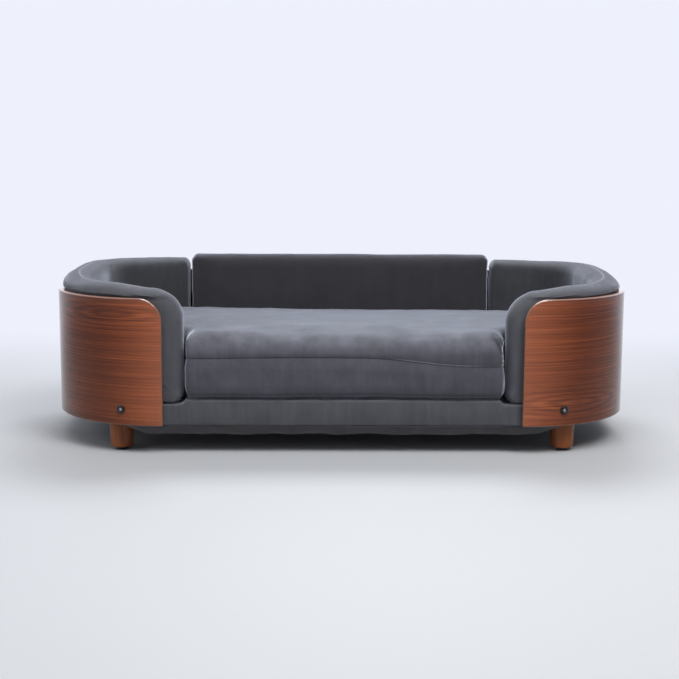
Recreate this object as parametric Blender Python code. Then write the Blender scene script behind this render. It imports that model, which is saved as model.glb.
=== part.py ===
"""Curved dog sofa on a low wooden base, in metres, +Z up, with its open front facing -Y.

Two bent plywood side panels and a flat back panel stand round an upholstered base on four turned legs.
Inside them are two corner bolsters, a back bolster and a loose seat cushion with a zipped cover.
"""

import math

import bmesh
import bpy
from mathutils import Matrix, Vector

# Overall plan, measured on the outer face of the panels
WIDTH = 1.000
DEPTH = 0.520
CORNER_R = 0.200

# Bent plywood panels
PLY = 0.012
PANEL_BOTTOM = 0.049
PANEL_HEIGHT = 0.213
PANEL_CORNER_R = 0.040
FRONT_RUN = 0.004
BACK_RUN = 0.030

# Bolsters, which stand above the panels and past their front edges
BOLSTER_T = 0.050
BOLSTER_RISE = 0.022
BACK_RISE = 0.0335
STANDOUT = 0.030
BOLSTER_TOP_R = 0.065
BOLSTER_FOOT_R = 0.016
ROLL_R = 0.018
BOLSTER_BACK_RUN = 0.0015
BOLSTER_SPLIT = 0.007
BOARD_T = 0.004
BOARD_SET = 0.022
WINDOW_HEM = 0.022

# Base platform
RAIL_BOTTOM = 0.050
RAIL_HEIGHT = 0.0322
RAIL_WIDTH = 0.060
DECK_T = 0.006
SLAT_H = 0.020
SLAT_W = 0.050
SLAT_PITCH = 0.200
PAD_T = 0.007
HEM_WIDTH = 0.015
SAG = 0.020
SAG_RUN = 0.045
DUST_T = 0.0012

# Legs, turned with a slight taper
LEG_TOP_D = 0.042
LEG_FOOT_D = 0.038
LEG_ANGLE = math.radians(27)
LEG_INSET = 0.037
LEG_CHAMFER = 0.0018
GLIDE_D = 0.020
GLIDE_T = 0.005
GLIDE_CHAMFER = 0.001
LEG_BOLT_D = 0.008
LEG_BOLT_DEPTH = 0.026
TEE_FLANGE_D = 0.020
TEE_BARREL_D = 0.0105
TEE_FLANGE_T = 0.0014
TEE_LENGTH = 0.012

# Panel bolts with their threaded inserts
BOLT_D = 0.006
BOLT_HEAD_D = 0.014
BOLT_HEAD_T = 0.003
BOLT_LENGTH = 0.032
BOLT_RIM = 0.0008
COVER_HOLE_D = 0.010
HEX_SIZE = 0.004
HEX_DEPTH = 0.002
BOLT_ANGLE = math.radians(20)
BOLT_Z = 0.0765
BACK_BOLT_X = 0.180
BACK_SINK = 0.0036
INSERT_D = 0.0095
INSERT_LENGTH = 0.016
INSERT_SPARE = 0.008

# Steel plates across the two rear joints, and hook strips that hold the bolsters
PLATE_W = 0.036
PLATE_T = 0.0015
PLATE_H = 0.130
STRIP_T = 0.0016
STRIP_W = 0.030
STRIP_Z = 0.165
BACK_STRIP_HALF = 0.200

# Seat cushion
SEAT_HEIGHT = 0.112
SEAT_FRONT_SET = 0.010
SEAT_EDGE_R = 0.030
SEAT_FOOT_R = 0.012
SEAT_SIDE_GAP = 0.003
SEAT_BACK_GAP = 0.0075
ZIP_LENGTH = 0.320
ZIP_WIDTH = 0.0036
ZIP_RISE = 0.026
SLIDER_W = 0.007
SLIDER_H = 0.009
SLIDER_T = 0.0042
PULL_LENGTH = 0.016
PULL_T = 0.0014

# Cloth and clearances
CLOTH_T = 0.0012
TOUCH = 0.0003
PAST = 0.010
NICK = 0.002
SAME = 1e-6
BASE_GAP = 0.0005
PANEL_GAP = 0.0025
WELL_GAP = 0.001

# Mesh fineness
ARC_STEPS = 9
ROUND_STEPS = 3
SAG_STEPS = 4
SIDES = 16
FINE_SIDES = 8

# Worked out from the values above
HALF_W = WIDTH / 2
HALF_D = DEPTH / 2
BEND_X = HALF_W - CORNER_R
BEND_Y = HALF_D - CORNER_R
PANEL_TOP = PANEL_BOTTOM + PANEL_HEIGHT
PANEL_EDGE_X = BEND_X - FRONT_RUN
JOINT_X = BEND_X - BACK_RUN
RAIL_TOP = RAIL_BOTTOM + RAIL_HEIGHT
COVER_INSET = PLY + BASE_GAP
RAIL_INSET = COVER_INSET + CLOTH_T + TOUCH
RAIL_INNER = RAIL_INSET + RAIL_WIDTH
COVER_TOP = RAIL_TOP + TOUCH + CLOTH_T
PAD_BOTTOM = RAIL_TOP + TOUCH
PAD_TOP = PAD_BOTTOM + PAD_T
WELL_TOP = PAD_TOP + TOUCH + CLOTH_T
BOLSTER_BOTTOM = COVER_TOP + TOUCH
BOLSTER_OUTER = PLY + PANEL_GAP
BOLSTER_INNER = BOLSTER_OUTER + BOLSTER_T
ARM_END_X = PANEL_EDGE_X - STANDOUT
CORNER_BACK_X = BEND_X - BOLSTER_BACK_RUN
BACK_HALF = CORNER_BACK_X - BOLSTER_SPLIT
SEAT_BOTTOM = WELL_TOP + BASE_GAP
SEAT_TOP = SEAT_BOTTOM + SEAT_HEIGHT
HEM_BOTTOM = RAIL_BOTTOM - TOUCH - CLOTH_T / 2
LEG_TOP = HEM_BOTTOM - TOUCH
LEG_X = BEND_X + (CORNER_R - LEG_INSET) * math.sin(LEG_ANGLE)
LEG_Y = BEND_Y + (CORNER_R - LEG_INSET) * math.cos(LEG_ANGLE)

SIDE_NAMES = {-1: "left", 1: "right"}
END_NAMES = {-1: "front", 1: "rear"}


# ---------------------------------------------------------------- materials
def material(name, colour, roughness, metallic=0.0):
    """A Principled material."""
    made = bpy.data.materials.new(name)
    made.use_nodes = True
    shader = made.node_tree.nodes["Principled BSDF"]
    shader.inputs["Base Color"].default_value = (*colour, 1.0)
    shader.inputs["Roughness"].default_value = roughness
    shader.inputs["Metallic"].default_value = metallic
    made.diffuse_color = (*colour, 1.0)
    return made


# ------------------------------------------------------------------- meshes
def mesh_object(name, points, faces, finish):
    """A closed mesh with its faces pointing out and no doubled points."""
    mesh = bpy.data.meshes.new(name)
    mesh.from_pydata(points, [], faces)
    shape = bmesh.new()
    shape.from_mesh(mesh)
    bmesh.ops.remove_doubles(shape, verts=shape.verts, dist=SAME)
    bmesh.ops.recalc_face_normals(shape, faces=shape.faces)
    shape.to_mesh(mesh)
    shape.free()
    mesh.shade_smooth()
    mesh.set_sharp_from_angle(angle=math.radians(35))
    mesh.materials.append(finish)
    made = bpy.data.objects.new(name, mesh)
    bpy.context.scene.collection.objects.link(made)
    return made


def skin(rows):
    """Faces between neighbouring closed rows of points, with a cap on the first row and on the last."""
    count = len(rows[0])
    faces = []
    for row in range(len(rows) - 1):
        for i in range(count):
            j = (i + 1) % count
            a, b = row * count, (row + 1) * count
            faces.append((a + i, a + j, b + j, b + i))
    faces.append(tuple(range(count)))
    last = (len(rows) - 1) * count
    faces.append(tuple(range(last, last + count)))
    return faces


def tube(name, rows, finish):
    """A solid through closed rows of points."""
    return mesh_object(name, [p for row in rows for p in row], skin(rows), finish)


def box(name, low, high, finish):
    """A block between two corners."""
    rows = [
        [(low[0], low[1], z), (high[0], low[1], z), (high[0], high[1], z), (low[0], high[1], z)]
        for z in (low[2], high[2])
    ]
    return tube(name, rows, finish)


def loft(name, loops, finish):
    """A solid through plan outlines, each given with its height."""
    return tube(name, [[(x, y, z) for x, y in outline] for outline, z in loops], finish)


def turned_mesh(name, profile, sides, finish):
    """A solid of revolution about Z, from (radius, height) points that start and end on the axis.

    Its first edge is turned by half a step, so that no edge lies on a plane that it is turned about.
    """
    rows = []
    for i in range(sides):
        angle = 2 * math.pi * (i + 0.5) / sides
        rows.append([(r * math.cos(angle), r * math.sin(angle), z) for r, z in profile])
    count = len(profile)
    faces = []
    for i in range(sides):
        a, b = i * count, ((i + 1) % sides) * count
        faces += [(a + k, a + k + 1, b + k + 1, b + k) for k in range(count - 1)]
    return mesh_object(name, [p for row in rows for p in row], faces, finish)


def make_ring(name, section, finish, matrix):
    """A sleeve: a closed (radius, height) section that is clear of the axis, turned about it."""
    count = len(section)
    points, faces = [], []
    for i in range(FINE_SIDES):
        angle = 2 * math.pi * (i + 0.5) / FINE_SIDES
        points += [(r * math.cos(angle), r * math.sin(angle), z) for r, z in section]
        a, b = i * count, ((i + 1) % FINE_SIDES) * count
        for k in range(count):
            m = (k + 1) % count
            faces.append((a + k, a + m, b + m, b + k))
    mesh_object(name, points, faces, finish).matrix_world = matrix


def as_cutter(helper):
    """Marks a helper that only cuts, so it isn't part of the model."""
    helper.hide_render = True
    helper.display_type = "WIRE"
    return helper


def cut(target, *cutters):
    """Takes each cutter's volume out of the target."""
    for cutter in cutters:
        modifier = target.modifiers.new(cutter.name, "BOOLEAN")
        modifier.operation = "DIFFERENCE"
        modifier.solver = "EXACT"
        modifier.object = as_cutter(cutter)


def join(target, other):
    """Adds another solid's volume to the target."""
    modifier = target.modifiers.new(other.name, "BOOLEAN")
    modifier.operation = "UNION"
    modifier.solver = "EXACT"
    modifier.object = as_cutter(other)


# -------------------------------------------------------------------- plan
def bend(end, x_end):
    """Stations from the side of the right-hand end round one bend (end -1 front, 1 rear) to x_end."""
    step = math.pi / 2 / ARC_STEPS
    reach = math.acos(max(x_end - BEND_X, 0.0) / CORNER_R)
    angles = [step * i for i in range(ARC_STEPS + 1) if step * i < reach - SAME] + [reach]
    stations = []
    for angle in angles:
        normal = (math.cos(angle), end * math.sin(angle))
        point = (BEND_X + CORNER_R * normal[0], end * BEND_Y + CORNER_R * normal[1])
        stations.append((point, normal))
    if x_end < BEND_X - SAME:
        stations.append(((x_end, end * HALF_D), (0.0, float(end))))
    return stations


def wrap(x_front, x_back):
    """Points and outward normals on the outer line round the right-hand end, from front to back."""
    return bend(-1, x_front)[::-1] + bend(1, x_back)


def along_back(x_start, x_end):
    """The straight run across the back, between two places."""
    return [((x, HALF_D), (0.0, 1.0)) for x in (x_start, x_end)]


def sweep(name, stations, section, side, finish):
    """A solid whose (inset, height) section follows the stations; side -1 mirrors it to the left."""
    rows = [
        [(side * (x - nx * inset), y - ny * inset, z) for inset, z in section]
        for (x, y), (nx, ny) in stations
    ]
    return tube(name, rows, finish)


def half_outline(inset, x_front, y_limit):
    """The right half of the plan outline, inset from the outer line, ending at the middle of the back."""
    points = []
    for (x, y), (nx, ny) in wrap(x_front, 0.0):
        points.append((x - nx * inset, min(y - ny * inset, y_limit)))
    return points


def closed_outline(right_half):
    """Both halves of an outline that is the same on the left."""
    left_half = [(-x, y) for x, y in reversed(right_half) if x > SAME]
    return right_half + left_half


def plan(inset):
    """The rounded rectangle, inset from the outer line."""
    return closed_outline(half_outline(inset, 0.0, HALF_D))


def well_plan(inset, tongue_x, tongue_y, y_limit=HALF_D):
    """The space inside the bolsters, with a tongue that reaches the front between the two arms."""
    return closed_outline([(tongue_x, tongue_y)] + half_outline(inset, tongue_x, y_limit))


def strip_section(outer, inner, bottom, top):
    """A rectangular section between two insets and two heights."""
    return [(outer, bottom), (inner, bottom), (inner, top), (outer, top)]


def rounded_section(outer, inner, bottom, top, radius):
    """A bolster's section: square at the foot, with both top corners rounded."""
    points = [(outer, bottom), (inner, bottom)]
    for centre, first in ((inner - radius, 0.0), (outer + radius, math.pi / 2)):
        for i in range(ROUND_STEPS + 1):
            angle = first + math.pi / 2 * i / ROUND_STEPS
            points.append((centre + radius * math.cos(angle), top - radius + radius * math.sin(angle)))
    return points


def corner_cutter(name, side, x_edge, z_edge, radius, upward):
    """A prism along Y that rounds the top (upward 1) or the foot (upward -1) of a free front edge."""
    profile = [(x_edge + radius, z_edge + upward * PAST), (x_edge - PAST, z_edge + upward * PAST)]
    profile.append((x_edge - PAST, z_edge - upward * radius))
    for i in range(2 * ROUND_STEPS + 1):
        angle = math.pi - math.pi / 2 * i / (2 * ROUND_STEPS)
        x = x_edge + radius + radius * math.cos(angle)
        profile.append((x, z_edge - upward * (radius - radius * math.sin(angle))))
    rows = [[(side * x, y, z) for x, z in profile] for y in (-HALF_D - PAST, -BEND_Y)]
    return tube(name, rows, None)


def facing(point, normal, z):
    """A matrix at a place on the outer line, whose +Z runs inwards through the panel."""
    inward = Vector((-normal[0], -normal[1], 0.0))
    turn = inward.to_track_quat("Z", "Y").to_matrix().to_4x4()
    return Matrix.Translation((point[0], point[1], z)) @ turn


def bolt_places():
    """Name and matrix of each panel bolt: one at each end of both side panels, and two on the back."""
    places = {}
    for side in (-1, 1):
        for end in (-1, 1):
            normal = (side * math.sin(BOLT_ANGLE), end * math.cos(BOLT_ANGLE))
            point = (side * BEND_X + CORNER_R * normal[0], end * BEND_Y + CORNER_R * normal[1])
            places[f"{END_NAMES[end]}_{SIDE_NAMES[side]}"] = facing(point, normal, BOLT_Z)
        point = (side * BACK_BOLT_X, HALF_D - BACK_SINK)
        places[f"back_{SIDE_NAMES[side]}"] = facing(point, (0.0, 1.0), BOLT_Z)
    return places


def leg_places():
    """Name and plan position of each leg."""
    return {
        f"{END_NAMES[end]}_{SIDE_NAMES[side]}": (side * LEG_X, end * LEG_Y)
        for side in (-1, 1)
        for end in (-1, 1)
    }


def pin_cutter(name, matrix, radius, start, end):
    """A cylinder along a place's inward axis."""
    profile = [(0.0, start), (radius, start), (radius, end), (0.0, end)]
    cutter = turned_mesh(name, profile, FINE_SIDES, None)
    cutter.matrix_world = matrix
    return cutter


# ------------------------------------------------------------------- panels
def make_panels(wood, places):
    """The two bent side panels and the flat back panel, with their bolt holes."""
    section = strip_section(0.0, PLY, PANEL_BOTTOM, PANEL_TOP)
    hole = BOLT_D / 2 + TOUCH
    for side, word in SIDE_NAMES.items():
        panel = sweep(f"side_panel_{word}", wrap(PANEL_EDGE_X, JOINT_X), section, side, wood)
        cut(panel, corner_cutter(f"panel_round_{word}", side, PANEL_EDGE_X, PANEL_TOP, PANEL_CORNER_R, 1))
        for end in END_NAMES.values():
            place = f"{end}_{word}"
            cut(panel, pin_cutter(f"panel_hole_{place}", places[place], hole, -PLY, 2 * PLY))
    back = sweep("back_panel", along_back(TOUCH - JOINT_X, JOINT_X - TOUCH), section, 1, wood)
    for word in SIDE_NAMES.values():
        place = f"back_{word}"
        cut(back, pin_cutter(f"panel_hole_{place}", places[place], hole, -PLY, 2 * PLY))
        cut(back, pin_cutter(f"head_sink_{place}", places[place], BOLT_HEAD_D / 2 + 2 * TOUCH, -PLY, 0.0))


def make_panel_fixings(black, steel, places):
    """A socket-head bolt and a threaded insert at each place."""
    radius, head = BOLT_D / 2, BOLT_HEAD_D / 2
    outside = -TOUCH - BOLT_HEAD_T
    profile = [(0.0, outside), (head - 2 * BOLT_RIM, outside), (head, -TOUCH - BOLT_RIM)]
    profile += [(head, -TOUCH), (radius, -TOUCH), (radius, BOLT_LENGTH), (0.0, BOLT_LENGTH)]
    corner = HEX_SIZE / math.sqrt(3)
    socket = [(0.0, outside - PAST), (corner, outside - PAST)]
    socket += [(corner, outside + HEX_DEPTH), (0.0, outside + HEX_DEPTH)]
    inner, outer = radius + TOUCH, INSERT_D / 2
    far = RAIL_INSET + TOUCH + INSERT_LENGTH
    near = RAIL_INSET + TOUCH
    for place, matrix in places.items():
        bolt = turned_mesh(f"panel_bolt_{place}", profile, SIDES, black)
        bolt.matrix_world = matrix
        hexagon = turned_mesh(f"hex_{place}", socket, 6, None)
        hexagon.matrix_world = matrix
        cut(bolt, hexagon)
        make_ring(f"panel_insert_{place}", strip_section(inner, outer, near, far), steel, matrix)


def make_joining_plates(steel):
    """A steel plate inside each rear joint."""
    near = PLY + TOUCH
    low = (COVER_TOP + PANEL_TOP - PLATE_H) / 2
    section = strip_section(near, near + PLATE_T, low, low + PLATE_H)
    for side, word in SIDE_NAMES.items():
        run = along_back(JOINT_X - PLATE_W / 2, JOINT_X + PLATE_W / 2)
        sweep(f"joining_plate_{word}", run, section, side, steel)


def make_hook_strips(tape):
    """Hook tape inside each panel, which grips the loop backing of a bolster."""
    near = PLY + TOUCH
    section = strip_section(near, near + STRIP_T, STRIP_Z, STRIP_Z + STRIP_W)
    for side, word in SIDE_NAMES.items():
        sweep(f"hook_strip_{word}", wrap(BEND_X, BEND_X), section, side, tape)
    sweep("hook_strip_back", along_back(-BACK_STRIP_HALF, BACK_STRIP_HALF), section, 1, tape)


# --------------------------------------------------------------------- base
def make_frame(timber, ply, places):
    """A ring of two straight rails and two curved ribs, with slats and a deck board inside it."""
    section = strip_section(RAIL_INSET, RAIL_INNER, RAIL_BOTTOM, RAIL_TOP)
    hole = INSERT_D / 2 + TOUCH
    hole_end = RAIL_INSET + INSERT_LENGTH + INSERT_SPARE
    tee_hole = TEE_BARREL_D / 2 + TOUCH
    for side, word in SIDE_NAMES.items():
        rib = sweep(f"end_rib_{word}", wrap(BEND_X, BEND_X), section, side, timber)
        for end in END_NAMES.values():
            place = f"{end}_{word}"
            cut(rib, pin_cutter(f"rib_hole_{place}", places[place], hole, 0.0, hole_end))
            x, y = leg_places()[place]
            shaft = Matrix.Translation((x, y, 0.0))
            cut(rib, pin_cutter(f"leg_hole_{place}", shaft, tee_hole, RAIL_BOTTOM - PAST, RAIL_TOP + PAST))
            floor = RAIL_TOP - TEE_FLANGE_T - 2 * TOUCH
            wide = TEE_FLANGE_D / 2 + TOUCH
            cut(rib, pin_cutter(f"flange_sink_{place}", shaft, wide, floor, RAIL_TOP + PAST))
    rear = sweep("rear_rail", along_back(TOUCH - BEND_X, BEND_X - TOUCH), section, 1, timber)
    for word in SIDE_NAMES.values():
        place = f"back_{word}"
        cut(rear, pin_cutter(f"rail_hole_{place}", places[place], hole, 0.0, hole_end))
    front_run = [((x, -HALF_D), (0.0, -1.0)) for x in (TOUCH - BEND_X, BEND_X - TOUCH)]
    sweep("front_rail", front_run, section, 1, timber)
    deck_top = RAIL_TOP - TOUCH
    deck_plan = plan(RAIL_INNER + TOUCH)
    loft("deck_board", [(deck_plan, deck_top - DECK_T), (deck_plan, deck_top)], ply)
    slat_top = deck_top - DECK_T - TOUCH
    reach = HALF_D - RAIL_INNER - TOUCH
    for place, word in ((-1, "left"), (0, "middle"), (1, "right")):
        x = place * SLAT_PITCH
        low = (x - SLAT_W / 2, -reach, slat_top - SLAT_H)
        box(f"cross_slat_{word}", low, (x + SLAT_W / 2, reach, slat_top), timber)


def base_well(shrink):
    """The raised part of the base top, made smaller all round by shrink."""
    inset = BOLSTER_INNER + WELL_GAP + shrink
    return well_plan(inset, ARM_END_X - WELL_GAP - shrink, -(HALF_D - COVER_INSET - TOUCH - shrink))


def make_base_soft(foam, cloth, places):
    """A thin pad on the deck, and the cloth cover that is pulled over it and stapled under the rails."""
    under_cloth = CLOTH_T + TOUCH
    pad = base_well(under_cloth)
    loft("base_pad", [(pad, PAD_BOTTOM), (pad, PAD_TOP)], foam)
    outside = plan(COVER_INSET)
    cover = loft("base_cover", [(outside, HEM_BOTTOM), (outside, COVER_TOP)], cloth)
    raised = base_well(0.0)
    join(cover, loft("well_raise", [(raised, RAIL_BOTTOM + TOUCH), (raised, WELL_TOP)], None))
    inside = plan(COVER_INSET + CLOTH_T)
    hem_top = RAIL_BOTTOM - TOUCH
    cut(cover, loft("frame_space", [(inside, hem_top), (inside, PAD_BOTTOM)], None))
    pad_space = base_well(CLOTH_T)
    cut(cover, loft("pad_space", [(pad_space, RAIL_TOP - NICK), (pad_space, PAD_TOP + TOUCH)], None))
    gap = plan(COVER_INSET + HEM_WIDTH)
    cut(cover, loft("hem_gap", [(gap, HEM_BOTTOM - PAST), (gap, hem_top + NICK)], None))
    for place, matrix in places.items():
        cut(cover, pin_cutter(f"cover_hole_{place}", matrix, COVER_HOLE_D / 2, PLY / 2, RAIL_INSET + NICK))


def sag_depth(inset):
    """How far the dust cover hangs at a distance inside its stapled edge."""
    share = min(max(inset / SAG_RUN, 0.0), 1.0)
    return SAG * share * share * (3 - 2 * share)


def make_dust_cover(cloth):
    """A thin cloth under the base, stapled round its edge and sagging inside it."""
    edge = COVER_INSET + TOUCH
    insets = [SAG_RUN * step / SAG_STEPS for step in range(SAG_STEPS + 1)]
    top = LEG_TOP
    upper = [(plan(edge + inset), top - sag_depth(inset)) for inset in insets]
    lower = [(plan(edge + inset), top - DUST_T - sag_depth(inset)) for inset in insets]
    cover = loft("dust_cover", list(reversed(upper)) + lower, cloth)
    for place, (x, y) in leg_places().items():
        shaft = Matrix.Translation((x, y, 0.0))
        cut(cover, pin_cutter(f"dust_hole_{place}", shaft, LEG_TOP_D / 2 + NICK, 0.0, RAIL_TOP))


def make_legs(wood, black, steel):
    """Four turned legs, each with a glide, a hanger bolt and a tee nut."""
    bore, depth = LEG_BOLT_D / 2 + TOUCH, LEG_TOP - LEG_BOLT_DEPTH
    foot = GLIDE_T + TOUCH
    leg_profile = [(0.0, foot), (LEG_FOOT_D / 2 - LEG_CHAMFER, foot), (LEG_FOOT_D / 2, foot + LEG_CHAMFER)]
    leg_profile += [(LEG_TOP_D / 2, LEG_TOP), (bore, LEG_TOP), (bore, depth), (0.0, depth)]
    glide_profile = [(0.0, 0.0), (GLIDE_D / 2 - GLIDE_CHAMFER, 0.0), (GLIDE_D / 2, GLIDE_CHAMFER)]
    glide_profile += [(GLIDE_D / 2, GLIDE_T), (0.0, GLIDE_T)]
    flange_top = RAIL_TOP - TOUCH
    bolt_radius = LEG_BOLT_D / 2
    bolt_profile = [(0.0, depth + TOUCH), (bolt_radius, depth + TOUCH)]
    bolt_profile += [(bolt_radius, flange_top - TOUCH), (0.0, flange_top - TOUCH)]
    flange_foot = flange_top - TEE_FLANGE_T
    tee_section = ((bore, flange_top), (TEE_FLANGE_D / 2, flange_top), (TEE_FLANGE_D / 2, flange_foot))
    tee_section += ((TEE_BARREL_D / 2, flange_foot), (TEE_BARREL_D / 2, flange_top - TEE_LENGTH))
    tee_section += ((bore, flange_top - TEE_LENGTH),)
    for place, (x, y) in leg_places().items():
        matrix = Matrix.Translation((x, y, 0.0))
        turned_mesh(f"leg_{place}", leg_profile, SIDES, wood).matrix_world = matrix
        turned_mesh(f"glide_{place}", glide_profile, SIDES, black).matrix_world = matrix
        turned_mesh(f"leg_bolt_{place}", bolt_profile, FINE_SIDES, steel).matrix_world = matrix
        make_ring(f"tee_nut_{place}", tee_section, steel, matrix)


# ----------------------------------------------------------------- bolsters
def bolster_body(name, shrink, run, side, top, rounded, finish):
    """A bolster's outer form drawn in by shrink, with its free front end rounded where it has one."""
    outer, inner, foot = BOLSTER_OUTER + shrink, BOLSTER_INNER - shrink, BOLSTER_BOTTOM + shrink
    section = rounded_section(outer, inner, foot, top - shrink, ROLL_R - shrink)
    made = sweep(name, run(shrink), section, side, finish)
    if rounded:
        x = ARM_END_X + shrink
        cut(made, corner_cutter(f"{name}_top", side, x, top - shrink, BOLSTER_TOP_R - shrink, 1))
        cut(made, corner_cutter(f"{name}_foot", side, x, foot, BOLSTER_FOOT_R - shrink, -1))
    return made


def make_bolster(word, side, run, board_run, top, rounded, cloth, foam, ply):
    """A bolster's cloth cover, its foam, and the backing board that the cover is stapled to.

    run and board_run give the stations of a run with both ends drawn in by their argument.
    """
    near = BOLSTER_OUTER + CLOTH_T + TOUCH
    far = near + BOARD_T
    low, high = BOLSTER_BOTTOM + BOLSTER_FOOT_R, top - ROLL_R - BOARD_T
    board = strip_section(near, far, low, high)
    sweep(f"{word}_bolster_board", board_run(0.0), board, side, ply)
    space = strip_section(near - BOARD_T, far + TOUCH, low - TOUCH, high + TOUCH)
    core = bolster_body(f"{word}_bolster_foam", CLOTH_T + TOUCH, run, side, top, rounded, foam)
    cut(core, sweep(f"{word}_board_space", board_run(-TOUCH), space, side, None))
    cover = bolster_body(f"{word}_bolster_cover", 0.0, run, side, top, rounded, cloth)
    cut(cover, bolster_body(f"{word}_core_space", CLOTH_T, run, side, top, rounded, None))
    window = strip_section(BOLSTER_OUTER - NICK, near + TOUCH, low + WINDOW_HEM, high - WINDOW_HEM)
    cut(cover, sweep(f"{word}_window", board_run(WINDOW_HEM), window, side, None))


def make_bolsters(cloth, foam, ply):
    """A bolster round each end, open at the front, and a straight one across the back."""
    def corner_run(shrink):
        return wrap(ARM_END_X + shrink, CORNER_BACK_X + shrink)

    def corner_board_run(shrink):
        return wrap(ARM_END_X + BOARD_SET + shrink, CORNER_BACK_X + BOARD_T + shrink)

    def back_run(shrink):
        return along_back(shrink - BACK_HALF, BACK_HALF - shrink)

    def back_board_run(shrink):
        return back_run(shrink + BOARD_T)

    for side, word in SIDE_NAMES.items():
        top = PANEL_TOP + BOLSTER_RISE
        make_bolster(word, side, corner_run, corner_board_run, top, True, cloth, foam, ply)
    make_bolster("back", 1, back_run, back_board_run, PANEL_TOP + BACK_RISE, False, cloth, foam, ply)


# --------------------------------------------------------------------- seat
def seat_plan(shrink):
    """The seat cushion's outline, drawn in by shrink."""
    inset = BOLSTER_INNER + SEAT_SIDE_GAP + shrink
    back = HALF_D - BOLSTER_INNER - SEAT_BACK_GAP - shrink
    return well_plan(inset, ARM_END_X - SEAT_SIDE_GAP - shrink, SEAT_FRONT_SET - HALF_D + shrink, back)


def seat_loops(shrink):
    """Plan outlines from the foot to the top, drawn in along both rounded edges."""
    loops = []
    for radius, edge, upward in ((SEAT_FOOT_R, SEAT_BOTTOM, -1), (SEAT_EDGE_R, SEAT_TOP, 1)):
        radius -= shrink
        steps = range(ROUND_STEPS + 1)
        for i in steps if upward > 0 else reversed(steps):
            angle = math.pi / 2 * i / ROUND_STEPS
            drawn_in = radius * (1 - math.cos(angle))
            z = edge - upward * (shrink + radius * (1 - math.sin(angle)))
            loops.append((seat_plan(shrink + drawn_in), z))
    return loops


def make_seat(cloth, foam, metal, tape):
    """The loose seat: a zipped cover round a foam core, with the zip low on its back."""
    cover = loft("seat_cover", seat_loops(0.0), cloth)
    cut(cover, loft("seat_space", seat_loops(CLOTH_T), None))
    loft("seat_foam", seat_loops(CLOTH_T + TOUCH), foam)
    back = HALF_D - BOLSTER_INNER - SEAT_BACK_GAP
    zip_z = SEAT_BOTTOM + ZIP_RISE
    half, rise = ZIP_LENGTH / 2, ZIP_WIDTH / 2
    low = (-half - TOUCH, back - CLOTH_T - TOUCH / 2, zip_z - rise - TOUCH)
    cut(cover, box("zip_slot", low, (half + TOUCH, back + NICK, zip_z + rise + TOUCH), None))
    box("zip_chain", (-half, back - CLOTH_T, zip_z - rise), (half, back, zip_z + rise), tape)
    make_slider(metal, half - SLIDER_W, back, zip_z)


def make_slider(metal, x, y, z):
    """The zip's slider with its pull, whose origin is on the zip at the closed end."""
    origin = Vector((x, y, z))
    near, far = TOUCH, TOUCH + SLIDER_T
    half, tail = SLIDER_H / 2, -SLIDER_H / 2 - PULL_LENGTH
    profile = [(near, -half), (far - PULL_T, -half), (far - PULL_T, tail)]
    profile += [(far, tail), (far, half), (near, half)]
    rows = [[(end * SLIDER_W / 2, py, pz) for py, pz in profile] for end in (-1, 1)]
    tube("zip_slider", rows, metal).location = origin


def main():
    """Builds every piece."""
    for old in list(bpy.data.objects):
        bpy.data.objects.remove(old, do_unlink=True)
    walnut = material("walnut", (0.23, 0.085, 0.04), 0.28)
    leg_wood = material("leg_wood", (0.32, 0.13, 0.05), 0.35)
    timber = material("timber", (0.62, 0.46, 0.28), 0.7)
    ply = material("plain_ply", (0.58, 0.42, 0.26), 0.65)
    velvet = material("velvet", (0.09, 0.1, 0.115), 0.9)
    dust = material("dust_cloth", (0.03, 0.03, 0.035), 0.95)
    foam = material("foam", (0.85, 0.82, 0.7), 0.95)
    black = material("black_metal", (0.02, 0.02, 0.022), 0.35, 0.9)
    plastic = material("glide_plastic", (0.03, 0.03, 0.03), 0.5)
    steel = material("zinc_steel", (0.6, 0.6, 0.6), 0.35, 1.0)
    tape = material("tape", (0.05, 0.05, 0.055), 0.85)
    places = bolt_places()
    make_panels(walnut, places)
    make_panel_fixings(black, steel, places)
    make_joining_plates(steel)
    make_hook_strips(tape)
    make_frame(timber, ply, places)
    make_base_soft(foam, velvet, places)
    make_dust_cover(dust)
    make_legs(leg_wood, plastic, steel)
    make_bolsters(velvet, foam, ply)
    make_seat(velvet, foam, black, tape)


main()
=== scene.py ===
"""Curved dog sofa: its finished surfaces, materials, light and camera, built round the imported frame.

Lengths are in metres in the frame's own axes: +X to the right, -Y to the open front, +Z up.
Most pieces follow the outer line of the shell, so a place on them is given by s, the distance along
that line from the middle of the front, by the height z, and by the depth measured inwards from it.
"""
import logging
import math
from dataclasses import dataclass
from enum import Enum

import bmesh
import bpy
import numpy as np
from mathutils import Matrix, Vector


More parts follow.
